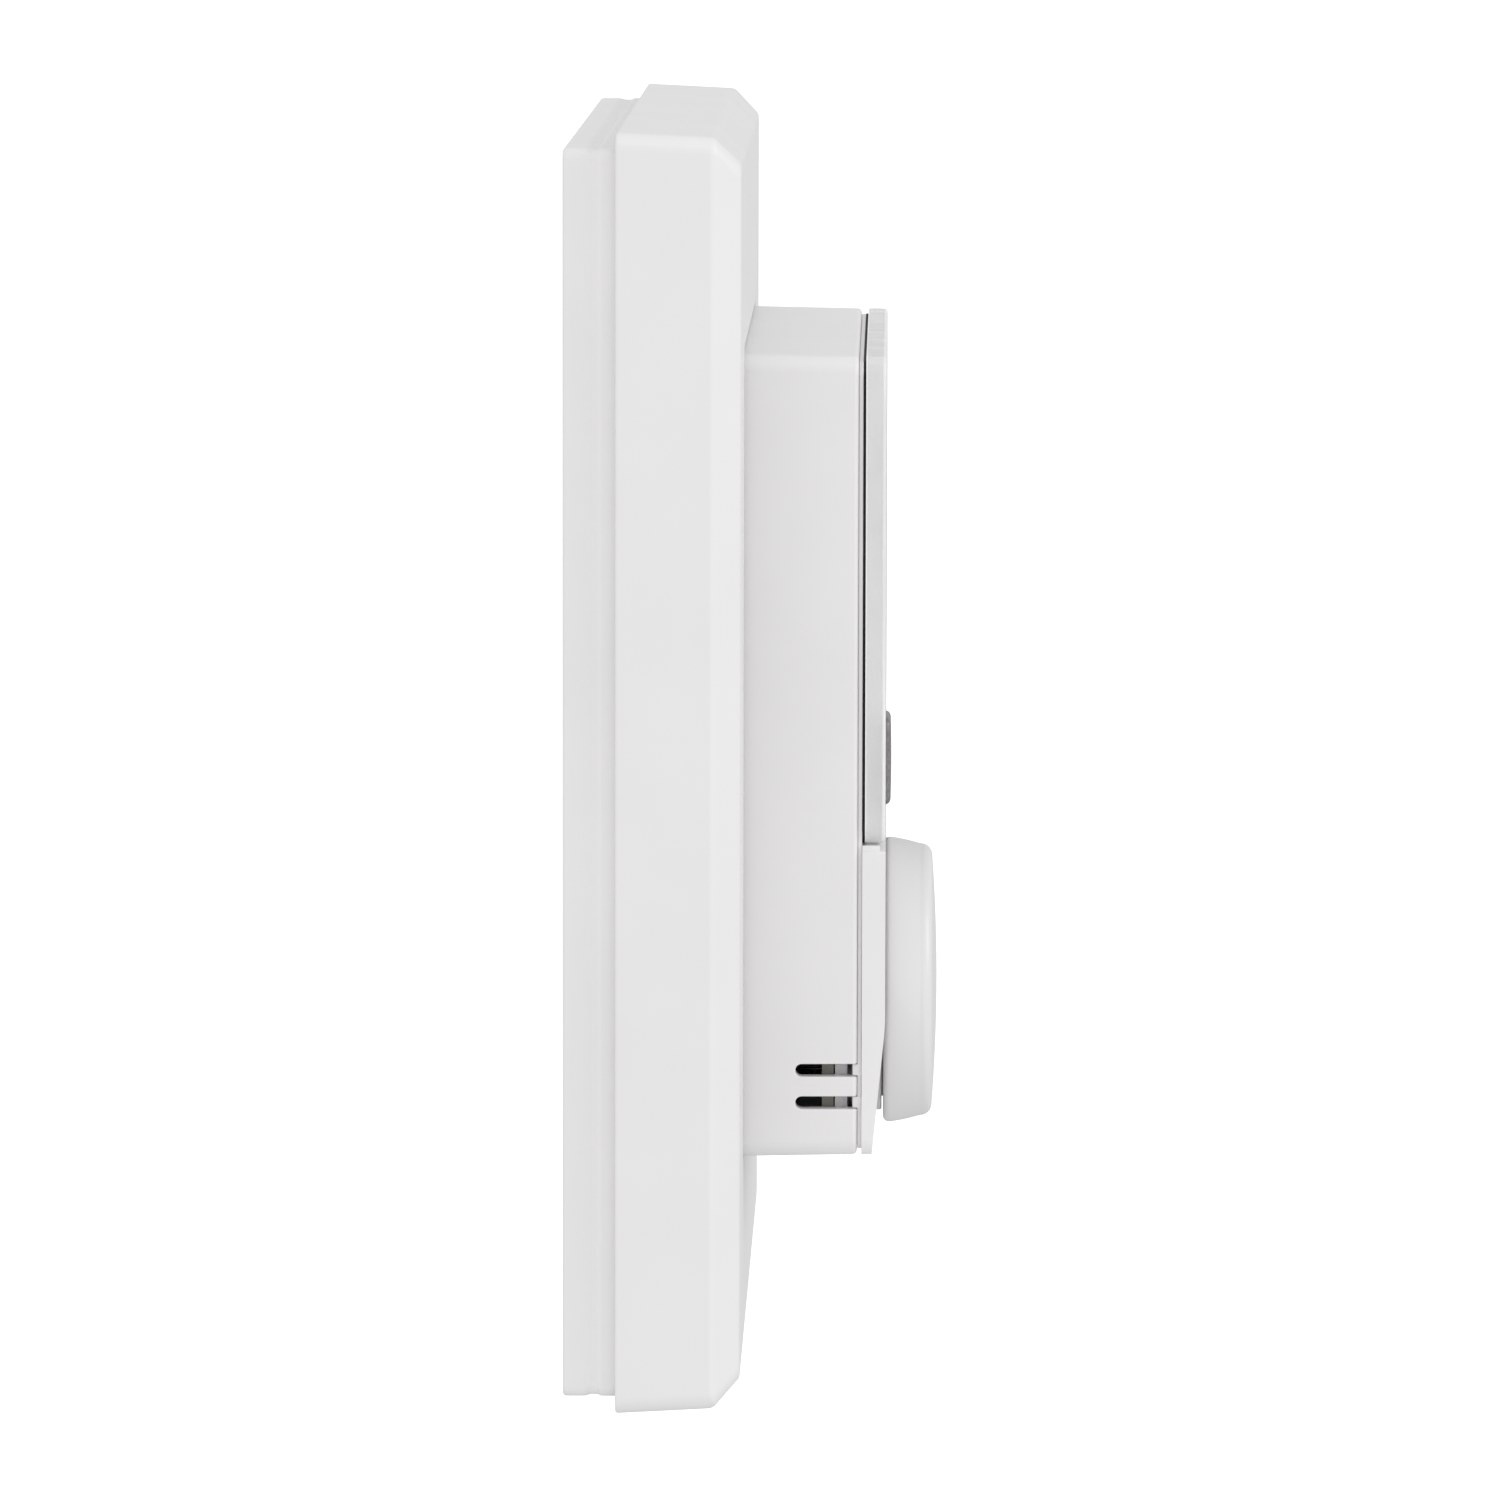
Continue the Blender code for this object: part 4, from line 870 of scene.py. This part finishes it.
def build_casing():
    area = Extent("front_casing")
    back, front = area.d
    inset = (CASING_BACK_SIDE - CASING_INNER_SIDE) / 2
    taper = (CASING_BACK_SIDE - MODULE_SIDE) / 2
    profile = [(inset, back, 0, MODULE_INNER_CORNER), (0, back, 0.1, MODULE_CORNER),
               (taper, front, 0.34, MODULE_CORNER), (inset, front, 0.15, MODULE_INNER_CORNER),
               (inset, back, 0, MODULE_INNER_CORNER)]
    rings = rectangle_rings(module_base(CASING_BACK_SIDE), profile)[:-1]
    casing = Shape().skin(rings, closed=True).finish("module_casing")
    near, far = CASING_REACH
    slots = Shape()
    for z in VENT_HEIGHTS:
        end = arc((VENT_BACK + VENT_WIDTH / 2, z), VENT_WIDTH / 2, 90, 270, 12)
        outline = end + [(front + 1, z - VENT_WIDTH / 2), (front + 1, z + VENT_WIDTH / 2)]
        slots.side_prism(outline, (-far, -near))
        slots.side_prism(outline, (near, far))
    carve(casing, [slots])
    soften_edges(casing, 0.14, 4)
    keep(shade(casing), "base", ["front_casing"], "casing")


def build_carrier():
    back, front = CARRIER_BACK, LIP_FRONT
    waist = (CARRIER_LIP_SIDE - CARRIER_WAIST) / 2
    lip_back = Extent("front_casing").d[1] + LIP_GAP
    inner, outer = MODULE_INNER_CORNER, 0.8
    profile = [(waist + 1, back, 0, inner), (waist, back, 0.08, inner), (waist, lip_back, 0.05, inner),
               (0, lip_back, 0.05, outer), (0, front, 0.04, outer), (1, front, 0, outer)]
    rings = rectangle_rings(module_base(CARRIER_LIP_SIDE), profile, 3)
    carrier = Shape().skin(rings).finish("inner_carrier")
    studs = Shape()
    tabs = Shape()
    holes = Shape()
    for side in (-1, 1):
        place = (side * MODULE_SCREW[0], MODULE_SCREW[1])
        studs.turned(STUD, place, 32)
        holes.turned(STUD_BORE, place, 24)
        for z in VENT_HEIGHTS:
            tabs.box(sorted(side * x for x in VENT_TAB_X), (back + 0.05, front - 0.02),
                     (z - VENT_TAB / 2, z + VENT_TAB / 2))
    holes.prism(display_window(LCD_MARGIN, 4), THROUGH_CARRIER)
    holes.prism(rounded_rectangle(8, 8, 0.5, BUTTON_AT, 4), THROUGH_CARRIER)
    holes.prism(circle(4.1, KNOB_AT, 64), THROUGH_CARRIER)
    carve(carrier, [studs, tabs], "UNION")
    carve(carrier, [holes])
    soften_edges(carrier, 0.06)
    keep(shade(carrier), "base", ["front_carrier"], "carrier")


def display_window(margin, steps=6):
    return rounded_rectangle(LCD_SIZE[0] + margin, LCD_SIZE[1] + margin, LCD_CORNER, (0, LCD_Z), steps)


def lens_windows(button_side, button_corner):
    """Cutter for the display's and the button's openings."""
    windows = Shape().prism(display_window(-WINDOW_OVERLAP), THROUGH_LENS)
    opening = rounded_rectangle(button_side, button_side, button_corner, BUTTON_AT, 6)
    return windows.prism(opening, THROUGH_LENS)


def build_lens():
    area = Extent("display_lens")
    back, front = area.d[0] - LENS_SEAT, area.d[1]
    base = (area.width, area.height, area.centre)
    corner = MODULE_CORNER
    profile = [(1, back, 0, corner), (0, back, LENS_EDGE_BACK, corner),
               (0, front, LENS_EDGE, corner), (1, front, 0, corner)]
    lens = Shape().skin(rectangle_rings(base, profile, 8)).finish("clear_lens")
    opening = rounded_rectangle(BUTTON_HOLE, BUTTON_HOLE, 0.7, BUTTON_AT, 8)
    carve(lens, [Shape().prism(opening, THROUGH_LENS)])
    soften_edges(lens, 0.07)
    keep(shade(lens), "base", ["display_lens"], "lens")
    lens.data.materials.append(finish["lens_edge"])
    lens.data.materials.append(finish["lens_rim"])
    for face in lens.data.polygons:
        if abs(face.normal.y) < FROSTED_BELOW:
            face.material_index = 2 if face.normal.y < -RIM_ABOVE else 1

    print_back = back - PRINT_BELOW
    profile = [(-PRINT_OVERHANG, print_back, 0, corner), (-PRINT_OVERHANG, back + PRINT_ABOVE, 0, corner)]
    sheet = Shape().skin(rectangle_rings(base, profile)).finish("lens_print")
    carve(sheet, [lens_windows(BUTTON_HOLE + 0.2, 0.8)])
    keep(shade(sheet), "base", [], "print")

    foam = Extent("lens_gasket")
    low, high = area.z[0] - JOIN, foam.z[1]
    foam_base = (foam.width, high - low, (0, (low + high) / 2))
    profile = [(0, LIP_FRONT, 0, corner), (0, print_back + JOIN, 0, corner)]
    gasket = Shape().skin(rectangle_rings(foam_base, profile)).finish("foam_gasket")
    carve(gasket, [lens_windows(7.0, 0.5)])
    keep(shade(gasket), "base", ["lens_gasket"], "gasket")


def slope_line(front, bottom):
    """Points (depth, z) down the lower plate's slope, which starts to fall softly."""
    points = []
    for step in range(SLOPE_STEPS + 1):
        z = SLOPE_TOP + (bottom - 1 - SLOPE_TOP) * (step / SLOPE_STEPS)
        fall = (SLOPE_TOP - z) / (SLOPE_TOP - bottom)
        eased = fall * fall / (2 * SLOPE_EASE) if fall < SLOPE_EASE else fall - SLOPE_EASE / 2
        points.append((front - SLOPE_DROP * eased / (1 - SLOPE_EASE / 2), z))
    return points


def build_lower_plate():
    area = Extent("lower_plate")
    back, front = LIP_FRONT - JOIN, area.d[1]
    bottom = area.z[0]
    top = LOWER_PLATE_TOP + PLATE_TRIM
    base = (area.width, top - bottom, (0, (top + bottom) / 2))
    corner = MODULE_CORNER
    profile = [(1, back, 0, corner), (0, back, 0.03, corner), (0, front, 0, corner)]
    plate = Shape().skin(rectangle_rings(base, profile)).finish("control_plate")
    across = (-PLATE_REACH, PLATE_REACH)
    cutter = [(front + 2, SLOPE_TOP), *slope_line(front, bottom), (front + 2, bottom - 1)]
    slope = Shape().side_prism(cutter, across)
    through, around, floor = KNOB_POCKET
    pocket = Shape().turned([(0, back - 1), (through, back - 1), (through, floor), (around, floor),
                             (around, front + 1), (0, front + 1)], KNOB_AT, 128)
    carve(plate, [Shape().box(across, (back - 1, front + 1), (LOWER_PLATE_TOP, top + 1))])
    half = RIDGE_SIDE / 2
    ridge = Shape().box((-half, half), (back + JOIN, RIDGE_FRONT),
                        (LOWER_PLATE_TOP - RIDGE_ROOT, area.z[1]))
    carve(plate, [ridge], "UNION")
    carve(plate, [slope])
    carve(plate, [pocket])
    soften_edges(plate, PLATE_EDGE, 3, 40)
    keep(shade(plate, 30), "base", ["lower_plate"], "plate")


# ---- display

SEGMENTS = {"0": "abcdef", "1": "bc", "2": "abged", "3": "abgcd", "4": "fgbc", "5": "afgcd",
            "6": "afgedc", "7": "abc"}


def segment_outline(segment, height, width, thick, gap):
    """One bar of a seven-segment digit as points, with mitred ends."""
    half = height / 2
    bars = {"a": ((0, height), (width, height)), "g": ((0, half), (width, half)), "d": ((0, 0), (width, 0)),
            "f": ((0, half), (0, height)), "b": ((width, half), (width, height)),
            "e": ((0, 0), (0, half)), "c": ((width, 0), (width, half))}
    (x0, z0), (x1, z1) = bars[segment]
    t = thick / 2
    if z0 == z1:
        return [(x0 + gap, z0), (x0 + gap + t, z0 - t), (x1 - gap - t, z0 - t), (x1 - gap, z0),
                (x1 - gap - t, z0 + t), (x0 + gap + t, z0 + t)]
    return [(x0, z0 + gap), (x0 + t, z0 + gap + t), (x0 + t, z1 - gap - t), (x0, z1 - gap),
            (x0 - t, z1 - gap - t), (x0 - t, z0 + gap + t)]


def add_digit(shape, digit, corner, size, depths):
    height, width, thick = size
    for segment in SEGMENTS[digit]:
        outline = segment_outline(segment, height, width, thick, thick * 0.12)
        shape.prism([(corner[0] + x + z * DIGIT_LEAN, corner[1] + z) for x, z in outline], depths)


def build_display():
    """Dark segments on the display glass: the time, the days, and the day's switching times."""
    glass_front = Extent("lcd_panel").d[1]
    depths = tuple(glass_front + ahead for ahead in SEGMENT_DEPTHS)
    shape = Shape()
    for digit, x in zip(TIME_TEXT, TIME_X):
        add_digit(shape, digit, (x, TIME_Z), TIME_DIGIT, depths)
    for z in (TIME_Z + rise for rise in COLON_RISES):
        shape.prism(circle(COLON_RADIUS, (COLON_X + (z - TIME_Z) * DIGIT_LEAN, z), 24), depths)
    for number, x in enumerate(DAY_X, start=1):
        add_digit(shape, str(number), (x, DAY_Z), DAY_DIGIT, depths)
        if number <= WORKING_DAYS:
            shape.box((x + DAY_LINE_X[0], x + DAY_LINE_X[1]), depths, DAY_LINE_Z)
    for hour in range(24):
        x = HOUR_X + hour * HOUR_STEP
        shape.box((x, x + HOUR_BAR), depths, (HOUR_Z, HOUR_Z + HOUR_HEIGHTS[hour in HOURS_ON]))
    for hour in TICK_HOURS:
        x = TICK_X + hour * HOUR_STEP
        shape.box((x, x + TICK_WIDTH), depths, TICK_Z)
    add_sun(shape, depths)
    add_moon(shape, depths)
    piece = shape.finish("display_segments")
    keep(shade(piece), "base", [], "segments")


def add_sun(shape, depths):
    inside, outside = (circle(radius, SUN_AT, 32) for radius in SUN_RADII)
    shape.loft([(inside, depths[0]), (outside, depths[0]), (outside, depths[1]), (inside, depths[1])],
               closed=True)
    near, far = RAY_RADII
    middle = Vector(SUN_AT)
    for index in range(RAYS):
        angle = math.radians(360 / RAYS * index)
        along = Vector((math.cos(angle), math.sin(angle)))
        across = Vector((-along.y, along.x)) * RAY_HALF
        corners = [middle + along * near - across, middle + along * far - across,
                   middle + along * far + across, middle + along * near + across]
        shape.prism([tuple(corner) for corner in corners], depths)


def add_moon(shape, depths):
    outer = arc(MOON_AT, MOON_RADIUS, *MOON_HORNS, 24)
    tip, foot = outer[0], outer[-1]
    middle = (MOON_AT[0] + MOON_BITE, MOON_AT[1])
    radius = math.hypot(tip[0] - middle[0], tip[1] - middle[1])
    start, end = (math.degrees(math.atan2(point[1] - middle[1], point[0] - middle[0])) % 360
                  for point in (foot, tip))
    inner = arc(middle, radius, start, end, 18)[1:-1]
    shape.prism(outer + inner, depths)


# ---- controls

def build_button():
    area = Extent("menu_button")
    flange_back, front = area.d
    inset = (area.width - BUTTON_SIDE) / 2
    base = (area.width, area.height, BUTTON_AT)
    flange_front = Extent("front_carrier").d[1]
    crown, corner = BUTTON_CROWN, BUTTON_CORNER
    profile = [(2.5, flange_back, 0, 0.4), (0, flange_back, 0.08, 0.4),
               (0, flange_front, 0.08, 0.4), (inset, flange_front, 0.05, corner),
               (inset, front - crown, 0.5, corner), (inset + 1.6, front - crown * 0.25, 0.6, 0.3),
               (inset + 2.6, front, 0, 0.2)]
    button = Shape().skin(rectangle_rings(base, profile, 6)).finish("front_button")
    keep(shade(button, 50), "menu_button", ["menu_button"], "button")


def knob_profile(base_depth, front):
    """The cap's outside as (radius, depth) points, from its base over the rim to the dome's middle."""
    reach = KNOB_RIM_RADIUS - KNOB_RIM_ROUND
    rise = front - KNOB_RIM - KNOB_RIM_ROUND
    start = base_depth + KNOB_BASE_ROUND
    points = arc((KNOB_RADIUS - KNOB_BASE_ROUND, start), KNOB_BASE_ROUND, -90, 0, 8)
    for step in range(1, KNOB_SIDE_STEPS):
        along = step / KNOB_SIDE_STEPS
        narrowing = (KNOB_RADIUS - KNOB_RIM_RADIUS) * along ** KNOB_SIDE_CURVE
        points.append((KNOB_RADIUS - narrowing, start + (KNOB_RIM - start) * along))
    points += arc((reach, KNOB_RIM), KNOB_RIM_ROUND, 0, KNOB_RIM_END, 16)
    for step in range(1, KNOB_DOME_STEPS):
        radius = reach * (1 - step / KNOB_DOME_STEPS)
        points.append((radius, front - rise * (radius / reach) ** 2))
    return points + [(0, front)]


def build_knob():
    area = Extent("knob_cap")
    base_depth, front = area.d
    roof, hollow = KNOB_ROOF, KNOB_HOLLOW
    inside = [(0, roof), (7.4, roof), (7.9, roof - 0.07), (8.25, roof - 0.3), (hollow, roof - 0.7),
              (hollow, base_depth + 0.1), (hollow + 0.1, base_depth)]
    cap = Shape().turned(inside + knob_profile(base_depth, front), KNOB_AT, 192).finish("turning_knob")
    keep(shade(cap, 50), "knob", ["knob_cap"], "knob")

    back = Extent("knob_core").d[0]
    neck_front = base_depth - NECK_GAP
    edge = CORE_EDGE
    profile = [(CORE_BORE, back), (CORE_HUB - edge, back), (CORE_HUB, back + edge),
               (CORE_HUB, CORE_ROOF), (NECK_INNER - edge, CORE_ROOF), (NECK_INNER - edge, back + edge),
               (NECK_INNER, back), (NECK_RADIUS - edge, back), (NECK_RADIUS, back + edge),
               (NECK_RADIUS, neck_front - 0.08), (NECK_RADIUS - 0.08, neck_front),
               (CORE_SOCKET, neck_front), (CORE_SOCKET, CORE_FRONT), (CORE_BORE, CORE_FRONT)]
    core = Shape().turned(profile, KNOB_AT, 128, closed=True).finish("knob_neck")
    key_x, key_depths, key_z = CORE_KEY
    key = Shape().box([KNOB_AT[0] + x for x in key_x], key_depths, [KNOB_AT[1] + z for z in key_z])
    carve(core, [key], "UNION")
    keep(shade(core), "knob", ["knob_core"], "core")


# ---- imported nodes

NODE_FINISH = {
    "support_plate": "steel", "support_screw": "screw", "power_board": "green_board",
    "board_screw": "screw", "power_cover": "cover", "relay": "relay", "mains_capacitor": "film",
    "fuse": "black", "varistor": "varistor", "transformer_core": "ferrite",
    "transformer_coil": "copper", "smoothing_capacitor": "can", "terminal_block": "green",
    "terminal_cage": "brass", "terminal_screw": "screw", "board_header": "black",
    "header_socket": "black", "rear_cover": "rear", "module_screw": "screw",
    "module_spring": "spring", "control_board": "dark_board", "microcontroller": "chip",
    "clock_crystal": "can", "air_sensor": "rubber", "backup_cell": "steel", "cell_clip": "spring",
    "display_holder": "holder", "contact_strip": "rubber", "backlight_panel": "diffuser",
    "lcd_panel": "glass", "tact_switch": "black", "encoder_body": "steel",
    "encoder_plunger": "black", "encoder_shaft": "steel", "switch_plunger": "black",
}


def dress_nodes():
    for name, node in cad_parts.items():
        family = name
        while family not in NODE_FINISH and "_" in family:
            family = family.rsplit("_", 1)[0]
        if family in NODE_FINISH:
            material = finish[NODE_FINISH[family]]
            for index in range(len(node.material_slots)):
                node.material_slots[index].material = material


make_camera()
make_world()
for light in SOFTBOXES:
    make_softbox(*light)
make_floor()
build_wall_box()
build_frame()
build_casing()
build_carrier()
build_lens()
build_lower_plate()
build_display()
build_button()
build_knob()
dress_nodes()
bpy.context.scene.view_settings.view_transform = "Standard"
